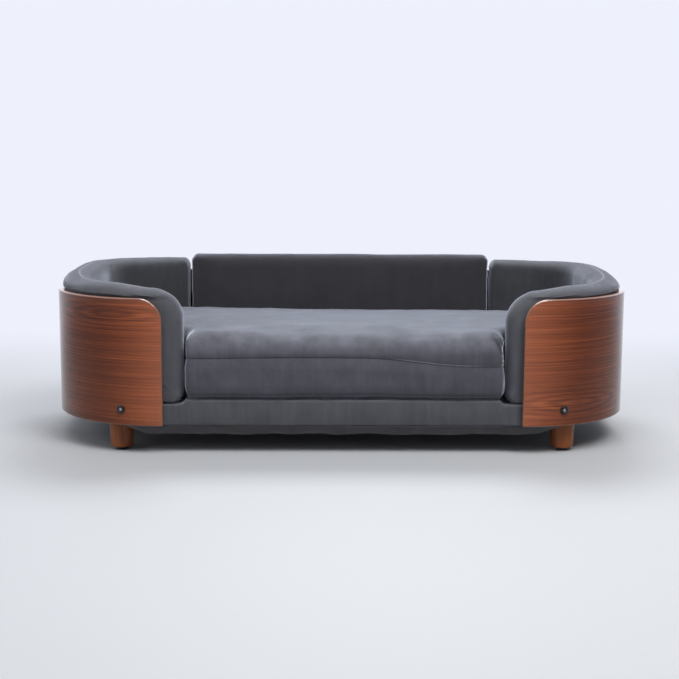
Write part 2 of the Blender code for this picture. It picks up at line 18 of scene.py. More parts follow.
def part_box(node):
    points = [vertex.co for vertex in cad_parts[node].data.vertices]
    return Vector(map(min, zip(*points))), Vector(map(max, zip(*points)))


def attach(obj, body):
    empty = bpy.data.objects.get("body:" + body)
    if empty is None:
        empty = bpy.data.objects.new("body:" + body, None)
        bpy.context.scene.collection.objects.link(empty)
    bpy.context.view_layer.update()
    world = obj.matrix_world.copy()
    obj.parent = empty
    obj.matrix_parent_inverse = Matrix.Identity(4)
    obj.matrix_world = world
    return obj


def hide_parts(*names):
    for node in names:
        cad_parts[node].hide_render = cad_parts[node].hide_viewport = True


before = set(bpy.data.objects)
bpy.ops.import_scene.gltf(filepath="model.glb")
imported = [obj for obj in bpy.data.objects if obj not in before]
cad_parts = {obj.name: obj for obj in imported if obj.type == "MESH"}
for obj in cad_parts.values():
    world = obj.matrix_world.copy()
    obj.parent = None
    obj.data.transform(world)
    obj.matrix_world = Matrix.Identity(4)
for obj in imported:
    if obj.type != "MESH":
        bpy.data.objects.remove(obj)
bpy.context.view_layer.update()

Piece = bpy.types.Object
Material = bpy.types.Material

LOG = logging.getLogger("dog_sofa")

PLY = 0.012  # the thickness of the panels
CORNER_R = 0.200  # the radius of the outer line's corners
PANEL_GAP = 0.0025  # between a panel and its bolster
BOLSTER_T = 0.050  # the thickness of a bolster
BOLSTER_DEPTH = PLY + PANEL_GAP  # where a bolster's outer face is, inwards from the outer line
BOARD_ROOM = 0.0045  # between a bolster's outer face and its core, where the board lies
CLEAR = 0.0003  # between pieces that lie against each other
CLOTH_T = 0.0012  # the thickness that the frame gives to a cloth
COVER_INSET = 0.0125  # where the base's cover is, inwards from the outer line
SAME = 2e-6  # points closer than this become one


class Side(Enum):
    """A side of the sofa, whose value is the sign of X on it."""

    LEFT = -1
    RIGHT = 1

    @property
    def word(self) -> str:
        """The side's name in lower case."""
        return self.name.lower()


class Place(Enum):
    """A leg or bolt place; its value gives the signs of X and Y."""

    FRONT_LEFT = (-1, -1)
    FRONT_RIGHT = (1, -1)
    REAR_LEFT = (-1, 1)
    REAR_RIGHT = (1, 1)

    @property
    def word(self) -> str:
        """The place's name in lower case."""
        return self.name.lower()


# ---- numbers
def smooth(values: np.ndarray, low: float, high: float) -> np.ndarray:
    """Rises from 0 at low to 1 at high along a cubic: 3t^2 - 2t^3."""
    t = np.clip((values - low) / (high - low), 0.0, 1.0)
    return t * t * (3.0 - 2.0 * t)


def waves(points: np.ndarray, length: float, seed: int, count: int = 7) -> np.ndarray:
    """Smooth noise around 0: plane sine waves in random directions, added and divided by sqrt(count).

    Args:
        points: Places, as an array of rows of three.
        length: The usual wavelength in metres.
        seed: The draw that sets the directions and phases.
        count: How many waves are added.

    Returns:
        One value for each point.
    """
    draw = np.random.default_rng(seed)
    directions = draw.normal(size=(count, 3))
    directions /= np.linalg.norm(directions, axis=1)[:, None]
    lengths = length * draw.uniform(0.7, 1.5, count)
    phases = draw.uniform(0.0, 2 * math.pi, count)
    turns = 2 * math.pi * (points @ directions.T) / lengths + phases
    return np.sin(turns).sum(axis=1) / math.sqrt(count)


def round_off(count: int) -> tuple[np.ndarray, np.ndarray]:
    """A quarter circle: 1 - sin of even angles, which falls to 0, and 1 - cos, which rises to 1."""
    angle = np.linspace(0.0, math.pi / 2, count)
    return 1.0 - np.sin(angle), 1.0 - np.cos(angle)


# ---- plan
@dataclass(frozen=True)
class OuterLine:
    """The rounded rectangle that the panels' outer faces follow.

    Attributes:
        half_width: Half of its size along X.
        half_depth: Half of its size along Y.
        radius: The radius of its four corners.
    """

    half_width: float
    half_depth: float
    radius: float

    @property
    def bend_x(self) -> float:
        """Where the straight front ends."""
        return self.half_width - self.radius

    @property
    def bend_y(self) -> float:
        """Where the straight side ends."""
        return self.half_depth - self.radius

    @property
    def half_length(self) -> float:
        """The distance from the middle of the front to the middle of the back."""
        return 2 * self.bend_x + math.pi * self.radius + 2 * self.bend_y

    def at(self, s: np.ndarray) -> tuple[np.ndarray, np.ndarray]:
        """Points and outward normals at distances s along the line.

        The right half runs straight to the first bend, turns a quarter, runs up the side, turns again and
        runs back to the middle of the back. The left half is its mirror image.

        Args:
            s: Distances from the middle of the front, positive to the right and negative to the left.

        Returns:
            Two arrays of rows (x, y).
        """
        full = 2 * self.half_length
        t = np.mod(s, full)
        mirror = np.where(t > self.half_length, -1.0, 1.0)
        t = np.where(t > self.half_length, full - t, t)
        arc = math.pi * self.radius / 2
        ends = np.cumsum([self.bend_x, arc, 2 * self.bend_y, arc])
        turn = np.clip((t - ends[0]) / self.radius, 0.0, math.pi / 2)
        turn = turn + np.clip((t - ends[2]) / self.radius, 0.0, math.pi / 2)
        nx, ny = np.sin(turn), -np.cos(turn)
        x = np.minimum(t, self.bend_x) - np.clip(t - ends[3], 0.0, None) + self.radius * nx
        y = np.where(t < ends[1], -self.bend_y, self.bend_y)
        y = np.where((t >= ends[1]) & (t < ends[2]), t - ends[1] - self.bend_y, y) + self.radius * ny
        return np.stack([x * mirror, y], -1), np.stack([nx * mirror, ny], -1)

    def place(self, s: np.ndarray, depth: np.ndarray, z: np.ndarray) -> np.ndarray:
        """Points of space: the line's point at s, moved inwards by depth, at the height z."""
        point, normal = self.at(s)
        return np.concatenate([point - normal * depth[..., None], z[..., None]], -1)


# ---- meshes
def grid_faces(rows: int, columns: int) -> np.ndarray:
    """Quads between neighbouring rows of a grid of points, whose last column joins the first."""
    row = np.arange(rows - 1)[:, None] * columns
    column = np.arange(columns)[None, :]
    after = (column + 1) % columns
    quads = [row + column, row + after, row + columns + after, row + columns + column]
    return np.stack(quads, -1).reshape(-1, 4)


def put_mesh(
    name: str,
    points: np.ndarray,
    faces: np.ndarray,
    materials: list[Material],
    slots: np.ndarray | None = None,
    uv: np.ndarray | None = None,
    marks: dict[str, np.ndarray] | None = None,
    sharp: float = 40.0,
) -> Piece:
    """Puts a surface into the scene as one closed, outward facing mesh.

    Args:
        name: The piece's name.
        points: Rows (x, y, z).
        faces: Rows of four point numbers.
        materials: The piece's materials.
        slots: The material number of each face.
        uv: A pair (u, v) for each point.
        marks: Named numbers, one for each point, that materials read.
        sharp: The angle in degrees above which an edge stays sharp.

    Returns:
        The new object.
    """
    mesh = bpy.data.meshes.new(name)
    mesh.from_pydata(points.reshape(-1, 3).tolist(), [], faces.tolist())
    for material in materials:
        mesh.materials.append(material)
    if slots is not None:
        mesh.polygons.foreach_set("material_index", slots.astype(np.int32))
    for mark, values in (marks or {}).items():
        attribute = mesh.attributes.new(mark, "FLOAT", "POINT")
        attribute.data.foreach_set("value", values.astype(np.float32).ravel())
    if uv is not None:
        layer = mesh.uv_layers.new(name="cut")
        corners = np.empty(len(mesh.loops), np.int32)
        mesh.loops.foreach_get("vertex_index", corners)
        layer.data.foreach_set("uv", uv.reshape(-1, 2)[corners].astype(np.float32).ravel())
    shape = bmesh.new()
    shape.from_mesh(mesh)
    bmesh.ops.remove_doubles(shape, verts=shape.verts, dist=SAME)
    bmesh.ops.dissolve_degenerate(shape, edges=shape.edges, dist=SAME / 2)
    bmesh.ops.recalc_face_normals(shape, faces=shape.faces)
    shape.to_mesh(mesh)
    shape.free()
    mesh.shade_smooth()
    mesh.set_sharp_from_angle(angle=math.radians(sharp))
    piece = bpy.data.objects.new(name, mesh)
    bpy.context.scene.collection.objects.link(piece)
    return piece


def settle(piece: Piece) -> None:
    """Turns a piece's modifiers into its mesh."""
    graph = bpy.context.evaluated_depsgraph_get()
    made = bpy.data.meshes.new_from_object(piece.evaluated_get(graph))
    old = piece.data
    piece.modifiers.clear()
    piece.data = made
    bpy.data.meshes.remove(old)


def join(piece: Piece, other: Piece) -> None:
    """Adds another piece's mesh to a piece and removes the other."""
    shape = bmesh.new()
    shape.from_mesh(piece.data)
    shape.from_mesh(other.data)
    shape.to_mesh(piece.data)
    shape.free()
    bpy.data.objects.remove(other)


def point_rows(piece: Piece, key: str) -> np.ndarray:
    """A row of three for each point of a piece: its place for "co", its normal for "normal"."""
    flat = np.empty(len(piece.data.vertices) * 3, np.float32)
    piece.data.vertices.foreach_get(key, flat)
    return flat.reshape(-1, 3)


def move_points(piece: Piece, places: np.ndarray) -> None:
    """Puts a piece's points at new places, given as rows."""
    piece.data.vertices.foreach_set("co", places.astype(np.float32).ravel())
    piece.data.update()


def cover_in(piece: Piece, material: Material) -> None:
    """Gives the whole of a piece one material, with smooth shading."""
    piece.data.materials.clear()
    piece.data.materials.append(material)
    piece.data.shade_smooth()


def add_voxels(piece: Piece, size: float) -> None:
    """Cuts a piece into even squares of a size, which also joins what overlaps."""
    remesh = piece.modifiers.new("squares", "REMESH")
    remesh.mode = "VOXEL"
    remesh.voxel_size = size
    settle(piece)


def bore(piece: Piece, matrix: Matrix, profile: list[tuple[float, float]]) -> None:
    """Cuts a turned hole into a piece.

    Args:
        piece: The piece that is cut.
        matrix: The hole's place, with its axis along Z.
        profile: (radius, height) points of the hole, from axis to axis.
    """
    tool = turned("bore_tool", np.array(profile), 40, [], matrix)
    modifier = piece.modifiers.new("bore", "BOOLEAN")
    modifier.solver = "EXACT"
    modifier.object = tool
    settle(piece)
    bpy.data.objects.remove(tool)


def turned(
    name: str,
    profile: np.ndarray,
    sides: int,
    materials: list[Material],
    matrix: Matrix,
) -> Piece:
    """A solid of revolution: each (radius, height) point goes round the axis at even angles.

    Args:
        name: The piece's name.
        profile: (radius, height) points that start and end on the axis.
        sides: How many points go round.
        materials: The piece's materials.
        matrix: The place of the axis, which becomes part of the mesh.

    Returns:
        The new object.
    """
    angle = 2 * math.pi * np.arange(sides) / sides
    radius, height = profile[:, :1], profile[:, 1:]
    ring = [radius * np.cos(angle), radius * np.sin(angle), height + 0 * angle]
    return put_rings(name, np.stack(ring, -1), materials, matrix)


def put_rings(
    name: str,
    points: np.ndarray,
    materials: list[Material],
    matrix: Matrix,
    sharp: float = 40.0,
) -> Piece:
    """Moves a stack of rings by a matrix and makes a piece of it.

    Args:
        name: The piece's name.
        points: The rings, as an array of rings of points (x, y, z).
        materials: The piece's materials.
        matrix: Where the rings go, which becomes part of the mesh.
        sharp: The angle in degrees above which an edge stays sharp.

    Returns:
        The new object.
    """
    turn = np.array(matrix.to_3x3())
    placed = points.reshape(-1, 3) @ turn.T + np.array(matrix.translation)
    faces = grid_faces(*points.shape[:2])
    return put_mesh(name, placed, faces, materials, sharp=sharp)


def steady_shading(piece: Piece) -> None:
    """Keeps the shading of broad faces even beside narrow rounded edges."""
    piece.modifiers.new("even shading", "WEIGHTED_NORMAL").keep_sharp = True


# ---- outline
@dataclass(frozen=True)
class Outline:
    """A rectangle in (s, z) with four rounded corners, as the flat pattern of a slab.

    Attributes:
        low: Its (s, z) low corner.
        high: Its (s, z) high corner.
        radii: Corner radii at low s low z, high s low z, high s high z, low s high z.
        spacing: The distance between points on the straight edges.
        arc: How many points a corner has.
    """

    low: tuple[float, float]
    high: tuple[float, float]
    radii: tuple[float, float, float, float]
    spacing: float = 0.006
    arc: int = 12

    @property
    def half_height(self) -> float:
        """Half of the height of the rectangle."""
        return (self.high[1] - self.low[1]) / 2

    @property
    def ridge(self) -> list[float]:
        """The stretch of s in which a face closes: all but half a height at each end."""
        return sorted((self.low[0] + self.half_height, self.high[0] - self.half_height))

    def straight(self, start: float, end: float) -> np.ndarray:
        """Points on a straight edge along s, which two facing edges share away from the ends.

        Args:
            start: Where the edge starts.
            end: Where it ends, at a lower s than the start on the upper edge.

        Returns:
            The points' places along s, without the two ends.
        """
        first, last = self.ridge
        shared = np.linspace(first, last, max(2, round((last - first) / self.spacing)))
        low, high = min(start, end), max(start, end)
        before = np.linspace(low, first, max(2, round((first - low) / self.spacing)))[1:-1]
        after = np.linspace(last, high, max(2, round((high - last) / self.spacing)))[1:-1]
        run = np.concatenate([before, shared, after])
        return run if end > start else run[::-1]

    def points(self) -> tuple[np.ndarray, np.ndarray, np.ndarray]:
        """The outline, anticlockwise.

        Returns:
            Rows (s, z), the inward normal at each, and the most that an edge may draw in there.
        """
        corners = ((self.low[0], self.low[1]), (self.high[0], self.low[1]))
        corners += ((self.high[0], self.high[1]), (self.low[0], self.high[1]))
        inwards = ((1, 1), (-1, 1), (-1, -1), (1, -1))
        line, normals, most = [], [], []
        for k in range(4):
            radius, after = self.radii[k], self.radii[(k + 1) % 4]
            centre = np.array(corners[k]) + radius * np.array(inwards[k])
            angle = np.linspace(math.pi, 1.5 * math.pi, self.arc) + k * math.pi / 2
            out = np.stack([np.cos(angle), np.sin(angle)], -1)
            line.append(centre + radius * out)
            normals.append(-out)
            most.append(np.full(self.arc, 0.8 * radius))
            ahead = np.array(corners[(k + 1) % 4]) + after * np.array(inwards[(k + 1) % 4])
            start, end = line[-1][-1], ahead + after * out[-1]
            if k % 2 == 0:
                run = self.straight(start[0], end[0])
                edge = np.stack([run, 0 * run + start[1]], -1)
            else:
                count = max(3, round(abs(end[1] - start[1]) / self.spacing))
                run = np.linspace(start[1], end[1], count)[1:-1]
                edge = np.stack([0 * run + start[0], run], -1)
            line.append(edge)
            normals.append(np.repeat(-out[-1:], len(run), 0))
            most.append(np.full(len(run), self.half_height))
        return np.concatenate(line), np.concatenate(normals), np.concatenate(most)


@dataclass(frozen=True)
class Slab:
    """A body that follows the outer line: an outline with a thickness and a rolled edge.

    The edge is a superellipse across the thickness, drawn in by roll at both faces. The roll may be
    smaller at the foot. Inside the edge, each face closes in rings on the line at mid height.

    Attributes:
        line: The outer line that it follows.
        outline: Its flat pattern.
        outer: The depth of its outer face.
        thickness: The distance between its two faces.
        roll: How far the edge draws in at the top, the low s end, the high s end and the foot.
        power: The exponent of the edge's curve, where 2 is an ellipse and more is squarer.
        flat: The width of the straight band in the middle of the edge.
        bulge: How far the inner face swells at its middle.
        rise: How much higher the top is round the rear bend than over the arm.
        rings: The number of rings in each face.
        steps: The number of steps over half of the edge.
        droop: How much lower the top is at the low s end.
        overhang: How far the outer face swells outwards above the ledge.
        ledge: The height above which it does.
    """

    line: OuterLine
    outline: Outline
    outer: float
    thickness: float
    roll: tuple[float, float, float, float]
    power: float = 2.0
    flat: float = 0.0
    bulge: float = 0.0
    rise: float = 0.0
    rings: int = 10
    steps: int = 6
    droop: float = 0.0
    overhang: float = 0.0
    ledge: float = 0.2598

    def rolls(self, points: np.ndarray, normals: np.ndarray, most: np.ndarray) -> np.ndarray:
        """The roll at each outline point.

        It is mixed from the four rolls by where the normal points, is no more than a corner's radius,
        and grows by at most a third of the distance from there.
        """
        top, low_end, high_end, foot = self.roll
        up = np.clip(-normals[:, 1], 0.0, 1.0) ** 2
        down = np.clip(normals[:, 1], 0.0, 1.0) ** 2
        start = np.clip(normals[:, 0], 0.0, 1.0) ** 2
        end = np.clip(-normals[:, 0], 0.0, 1.0) ** 2
        roll = np.minimum(top * up + foot * down + low_end * start + high_end * end, most)
        gap = np.linalg.norm(points - np.roll(points, 1, 0), axis=1) / 3
        for _ in range(40):
            roll = np.minimum(roll, np.roll(roll, 1) + gap)
            roll = np.minimum(roll, np.roll(roll, -1) + np.roll(gap, -1))
        return roll

    def profile(self) -> tuple[np.ndarray, np.ndarray]:
        """The edge's curve from the outer face to the inner one.

        With a as the angle of a half turn and n as the power, the edge is drawn in by 1 - sin(a)^(2/n)
        of the roll, at a depth that follows cos(a)^(2/n). The flat band is two points in the middle.

        Returns:
            The share of the roll that is drawn in at each step, and the step's depth.
        """
        turn = np.linspace(0.0, math.pi, 2 * self.steps + 1)
        share = 2.0 / self.power
        drawn = 1.0 - np.abs(np.sin(turn)) ** share
        swing = np.sign(np.cos(turn)) * np.abs(np.cos(turn)) ** share
        half = self.thickness / 2
        across = half - swing * (half - self.flat / 2) - np.sign(swing.round(9)) * self.flat / 2
        if self.flat > 0:
            middle = self.steps
            drawn = np.insert(drawn, middle, drawn[middle])
            across = np.insert(across, middle, half - self.flat / 2)
            across[middle + 1] = half + self.flat / 2
        return drawn, across

    def lifted(self, s: np.ndarray, z: np.ndarray) -> np.ndarray:
        """Heights with the top's rise and droop.

        The top rises behind the arm, falls by less than half of that towards the high s end, and droops at
        the low s end. A point moves by the square of its share of the height.

        Args:
            s: Distances along the outer line.
            z: Heights on the flat pattern.

        Returns:
            The new heights.
        """
        (start, foot), (end, top) = self.outline.low, self.outline.high
        share = (z - foot) / (top - foot)
        hump = smooth(s, start + 0.18, start + 0.42) - 0.45 * smooth(s, end - 0.32, end - 0.06)
        droop = self.droop * (1.0 - smooth(s, start + 0.035, start + 0.140))
        return z + (self.rise * hump - droop) * share * share

    def build(self, name: str, side: Side, materials: list[Material]) -> Piece:
        """Makes the slab on one side.

        Args:
            name: The piece's name.
            side: The side; a slab over the middle of the back uses the right one.
            materials: The finish of the faces and, if there is a second, of the edge.

        Returns:
            The new object.
        """
        pattern, normals, most = self.outline.points()
        roll = self.rolls(pattern, normals, most)
        drawn, across = self.profile()
        half = self.thickness / 2
        edge = pattern[None] + normals[None] * (drawn[:, None] * roll[None])[..., None]
        depth = across[:, None] + 0 * roll[None]
        crest = 1.0 - np.clip(np.abs(across - half) / (half + 1e-9), 0.0, 1.0)
        inner = edge[-1]
        mid_height = 0 * inner[:, 1] + self.outline.low[1] + self.outline.half_height
        centre = np.stack([np.clip(inner[:, 0], *self.outline.ridge), mid_height], -1)
        close = (np.arange(1, self.rings + 1) / self.rings)[:, None, None]
        face = inner[None] * (1 - close) + centre[None] * close
        swell = self.bulge * (1 - (1 - close[..., 0]) ** 2) + 0 * roll[None]
        grid = np.concatenate([face[::-1], edge, face])
        deep = np.concatenate([0 * swell[::-1], depth, self.thickness + swell])
        crests = np.concatenate([0 * swell[::-1], crest[:, None] + 0 * roll[None], 0 * swell])
        s = grid[..., 0]
        z = self.lifted(s, grid[..., 1])
        outwards = 1.0 - np.clip(deep / self.thickness, 0, 1)
        over = self.overhang * smooth(z, self.ledge, self.ledge + 0.006) * outwards
        points = self.line.place(side.value * s, self.outer + deep - over, z)
        faces = grid_faces(*grid.shape[:2])
        row = np.repeat(np.arange(grid.shape[0] - 1), grid.shape[1])
        on_edge = (row >= self.rings) & (row < grid.shape[0] - 1 - self.rings)
        slots = np.where(on_edge & (len(materials) > 1), 1, 0)
        # crest marks where the velvet paints a sheen highlight; across also marks where velvet and veneer
        # paint shade on an inner face
        marks = {"crest": crests, "across": deep / self.thickness}
        return put_mesh(name, points, faces, materials, slots, np.stack([s, z], -1), marks)


# ---- shading
class Socket:
    """A shader output that takes part in sums: each operator adds the Math node that does it."""

    def __init__(self, tree: bpy.types.NodeTree, source: bpy.types.NodeSocket) -> None:
        """Holds the tree and the output."""
        self.tree = tree
        self.source = source

    def math(self, operation: str, first: "Socket | float", second: "Socket | float") -> "Socket":
        """Adds one Math node on two values."""
        node = self.tree.nodes.new("ShaderNodeMath")
        node.operation = operation
        for slot, value in zip(node.inputs, (first, second)):
            if isinstance(value, Socket):
                self.tree.links.new(value.source, slot)
            else:
                slot.default_value = value
        return Socket(self.tree, node.outputs[0])

    def __add__(self, other: "Socket | float") -> "Socket":
        """This plus other."""
        return self.math("ADD", self, other)

    def __radd__(self, other: float) -> "Socket":
        """Other plus this."""
        return self.math("ADD", other, self)

    def __sub__(self, other: "Socket | float") -> "Socket":
        """This less other."""
        return self.math("SUBTRACT", self, other)

    def __rsub__(self, other: float) -> "Socket":
        """Other less this."""
        return self.math("SUBTRACT", other, self)

    def __mul__(self, other: "Socket | float") -> "Socket":
        """This times other."""
        return self.math("MULTIPLY", self, other)

    def __rmul__(self, other: float) -> "Socket":
        """Other times this."""
        return self.math("MULTIPLY", other, self)

    def __truediv__(self, other: "Socket | float") -> "Socket":
        """This over other."""
        return self.math("DIVIDE", self, other)

    def __pow__(self, other: float) -> "Socket":
        """This to the power other."""
        return self.math("POWER", self, other)

    def sin(self) -> "Socket":
        """The sine of this."""
        return self.math("SINE", self, 0.0)

    def size(self) -> "Socket":
        """This without its sign."""
        return self.math("ABSOLUTE", self, 0.0)

    def above(self, limit: "Socket | float") -> "Socket":
        """1 where this is above the limit, else 0."""
        return self.math("GREATER_THAN", self, limit)


Value = float | tuple | Socket


class Shading:
    """A material's node tree under construction, with its Principled shader."""

    def __init__(self, name: str) -> None:
        """Starts a material of that name."""
        self.material = bpy.data.materials.new(name)
        self.material.use_nodes = True
        self.tree = self.material.node_tree
        self.shader = self.tree.nodes["Principled BSDF"]

    def node(
        self, kind: str, settings: dict[str, object], sockets: dict[str | int, Value], out: int = 0
    ) -> Socket:
        """Adds any node.

        Args:
            kind: The node's type.
            settings: Properties that are set first; "stops" gives a ramp's (place, colour) pairs.
            sockets: Values or links of its inputs, by name or number.
            out: The number of the output that is given back.

        Returns:
            That output.
        """
        made = self.tree.nodes.new(kind)
        for key, value in settings.items():
            if key != "stops":
                setattr(made, key, value)
                continue
            ramp = made.color_ramp.elements
            while len(ramp) < len(value):
                ramp.new(0.5)
            for element, (place, colour) in zip(ramp, value):
                element.position = place
                element.color = (*colour, 1.0)
        for key, value in sockets.items():
            if isinstance(value, Socket):
                self.tree.links.new(value.source, made.inputs[key])
            else:
                made.inputs[key].default_value = value
        return Socket(self.tree, made.outputs[out])

    def place(self) -> Socket:
        """The point in the piece's own axes, in metres."""
        return self.node("ShaderNodeTexCoord", {}, {}, 3)

    def pattern(self) -> Socket:
        """The point on the flat pattern: (s, z), in metres."""
        return self.node("ShaderNodeUVMap", {"uv_map": "cut"}, {})

    def mark(self, name: str) -> Socket:
        """A number that the mesh holds for each point."""
        return self.node("ShaderNodeAttribute", {"attribute_name": name}, {}, 2)

    def stretch(self, vector: Socket, scale: tuple, shift: tuple = (0.0, 0.0, 0.0)) -> Socket:
        """The vector times scale, plus shift."""
        return self.node("ShaderNodeMapping", {}, {"Vector": vector, "Scale": scale, "Location": shift})

    def split(self, vector: Socket, axis: int) -> Socket:
        """One coordinate of a vector."""
        return self.node("ShaderNodeSeparateXYZ", {}, {"Vector": vector}, axis)

    def noise(self, vector: Socket, scale: float, detail: float = 3.0, rough: float = 0.55) -> Socket:
        """Fractal noise around 0.5, with scale cells to a metre of the vector."""
        sockets = {"Vector": vector, "Scale": scale, "Detail": detail, "Roughness": rough}
        return self.node("ShaderNodeTexNoise", {}, sockets)

    def cells(self, vector: Socket, scale: float) -> Socket:
        """The distance to the nearest of scattered points."""
        return self.node("ShaderNodeTexVoronoi", {}, {"Vector": vector, "Scale": scale})

    def fade(self, value: Socket, low: float, high: float) -> Socket:
        """Rises smoothly from 0 where the value is low to 1 where it is high."""
        sockets = {"Value": value, "From Min": low, "From Max": high}
        return self.node("ShaderNodeMapRange", {"interpolation_type": "SMOOTHSTEP"}, sockets)

    def scaled(self, colour: Value, factor: Value) -> Socket:
        """The colour times a factor."""
        return self.node("ShaderNodeVectorMath", {"operation": "SCALE"}, {0: colour, "Scale": factor})

    def ramp(self, tone: Socket, stops: list[tuple[float, tuple[float, float, float]]]) -> Socket:
        """The colour at a tone, between stops of a tone and its colour."""
        return self.node("ShaderNodeValToRGB", {"stops": stops}, {"Fac": tone})

    def mix(self, share: Value, first: Value, second: Value) -> Socket:
        """Mixes two colours by a share."""
        first, second = [(*c, 1.0) if isinstance(c, tuple) else c for c in (first, second)]
        return self.node("ShaderNodeMix", {"data_type": "RGBA"}, {0: share, 6: first, 7: second}, 2)

    def bump(self, height: Socket, depth: float, below: Socket | None = None) -> Socket:
        """Turns a height into a normal; depth is the height in metres that 1 stands for."""
        sockets: dict[str | int, Value] = {"Height": height, "Distance": depth, "Strength": 1.0}
        if below is not None:
            sockets["Normal"] = below
        return self.node("ShaderNodeBump", {}, sockets)

    def dress(self, **sockets: Value) -> Material:
        """Sets or links sockets of the Principled shader, whose spaces are written as underscores."""
        for key, value in sockets.items():
            slot = self.shader.inputs[key.replace("_", " ")]
            if isinstance(value, Socket):
                self.tree.links.new(value.source, slot)
            elif isinstance(value, tuple) and len(value) == 3 and slot.type == "RGBA":
                slot.default_value = (*value, 1.0)
            else:
                slot.default_value = value
        return self.material


# ---- finishes
@dataclass(frozen=True)
class Velvet:
    """Short pile furnishing velvet, with soft patches where the nap lies another way.

    Attributes:
        name: The material's name.
        colour: The pile's colour.
        streak: The strength of the upright streaks.
        patch: The strength of the broad patches.
        sheen: The strength of the light that the pile throws at a low angle.
        seamed: Whether the mesh holds the distances from its seams, which then show.
        shade: How much darker the inner face of a slab is painted, as painted shade.
    """

    name: str
    colour: tuple[float, float, float]
    streak: float = 0.16
    patch: float = 0.16
    sheen: float = 0.9
    seamed: bool = False
    shade: float = 0.0

    def make(self) -> Material:
        """Builds the material.

        The pile's tone is 1 plus upright streaks, patches, a slow drift and a fine grain, each around 0.
        The crest of an edge is painted pale, a painted sheen highlight, and a slab's inner face is
        darkened by shade, a painted shade.
        On a seamed piece the seams are grooves painted dark (painted shade), with a painted highlight on
        the ridge beside the upper seam and along the lower seam, and the top is painted lighter near the
        crown (painted light) and darker at the foot and in the fold (painted shade).
        """
        g = Shading(self.name)
        here = g.place()
        wander = g.noise(here, 9.0, 3.0)
        streaks = g.noise(g.stretch(here, (95.0, 95.0, 9.0)), 1.0, 4.0, 0.62)
        patches = g.noise(here, 24.0, 4.0, 0.6)
        pile = g.noise(here, 1500.0, 2.0, 0.7)
        tone = 1.0 + (streaks - 0.5) * (2.4 * self.streak) + (patches - 0.5) * (2.2 * self.patch)
        tone = tone + (wander - 0.5) * (1.6 * self.patch) + (pile - 0.5) * 0.5
        # painted sheen highlight: the crest of an edge is painted pale, where the velvet's sheen catches
        # the light
        crest = g.fade(g.mark("crest"), 0.90, 0.99)
        sheen_highlight = tuple(min(1.0, 3.4 * c) for c in self.colour)
        colour = g.scaled(self.colour, tone)
        colour = g.mix(crest * 0.55, colour, sheen_highlight)
        # painted shade: a slab's inner face, where less light falls, is painted darker by shade
        inner = 1.0 - g.fade(g.mark("across"), 0.80, 0.98) * self.shade
        colour = g.scaled(colour, inner)
        relief = g.bump(pile, 0.00035, g.bump(patches, 0.0012))
        if self.seamed:
            upper, lower = g.mark("upper_seam"), g.mark("lower_seam")
            right, height = g.split(here, 0), g.split(here, 2)
            fold = 1.0 - g.fade(upper.size(), 0.0004, 0.0017)
            ridge = 1.0 - g.fade((upper - 0.0017).size(), 0.0003, 0.0013)
            hem = 1.0 - g.fade(lower.size(), 0.0003, 0.0015)
            lit = g.fade(right, 0.07, 0.12) * (1.0 - g.fade(right, 0.20, 0.24) * 0.8)
            # painted light and shade: the top is painted lighter towards the crown, mottled by the nap's
            # patches; the foot, above the shaded gap over the base, and the fold at the right are painted
            # darker
            painted_light_and_shade = 0.90 + g.fade(height, 0.160, 0.198) * (0.40 + (patches - 0.5) * 1.1)
            painted_light_and_shade = painted_light_and_shade * (0.12 + g.fade(height, 0.0932, 0.0972) * 0.88) * (1.0 - g.mark("fold") * 0.8)
            colour = g.scaled(colour, painted_light_and_shade)
            # painted shade: the upper seam's groove is painted dark
            colour = g.mix(fold * 0.50, colour, tuple(0.16 * c for c in self.colour))
            # painted highlight: a pale line on the ridge beside the upper seam, on its right part, where
            # the light falls
            colour = g.mix(ridge * lit * streaks * 1.2, colour, sheen_highlight)
            # painted highlight: a pale line along the lower seam
            colour = g.mix(hem * 0.22, colour, sheen_highlight)
            relief = g.bump(1.0 - fold, 0.0005, relief)
        return g.dress(
            Base_Color=colour,
            Roughness=0.92,
            Specular_IOR_Level=0.15,
            Sheen_Weight=self.sheen,
            Sheen_Roughness=0.34,
            Sheen_Tint=(0.80, 0.86, 1.0),
            Normal=relief,
        )


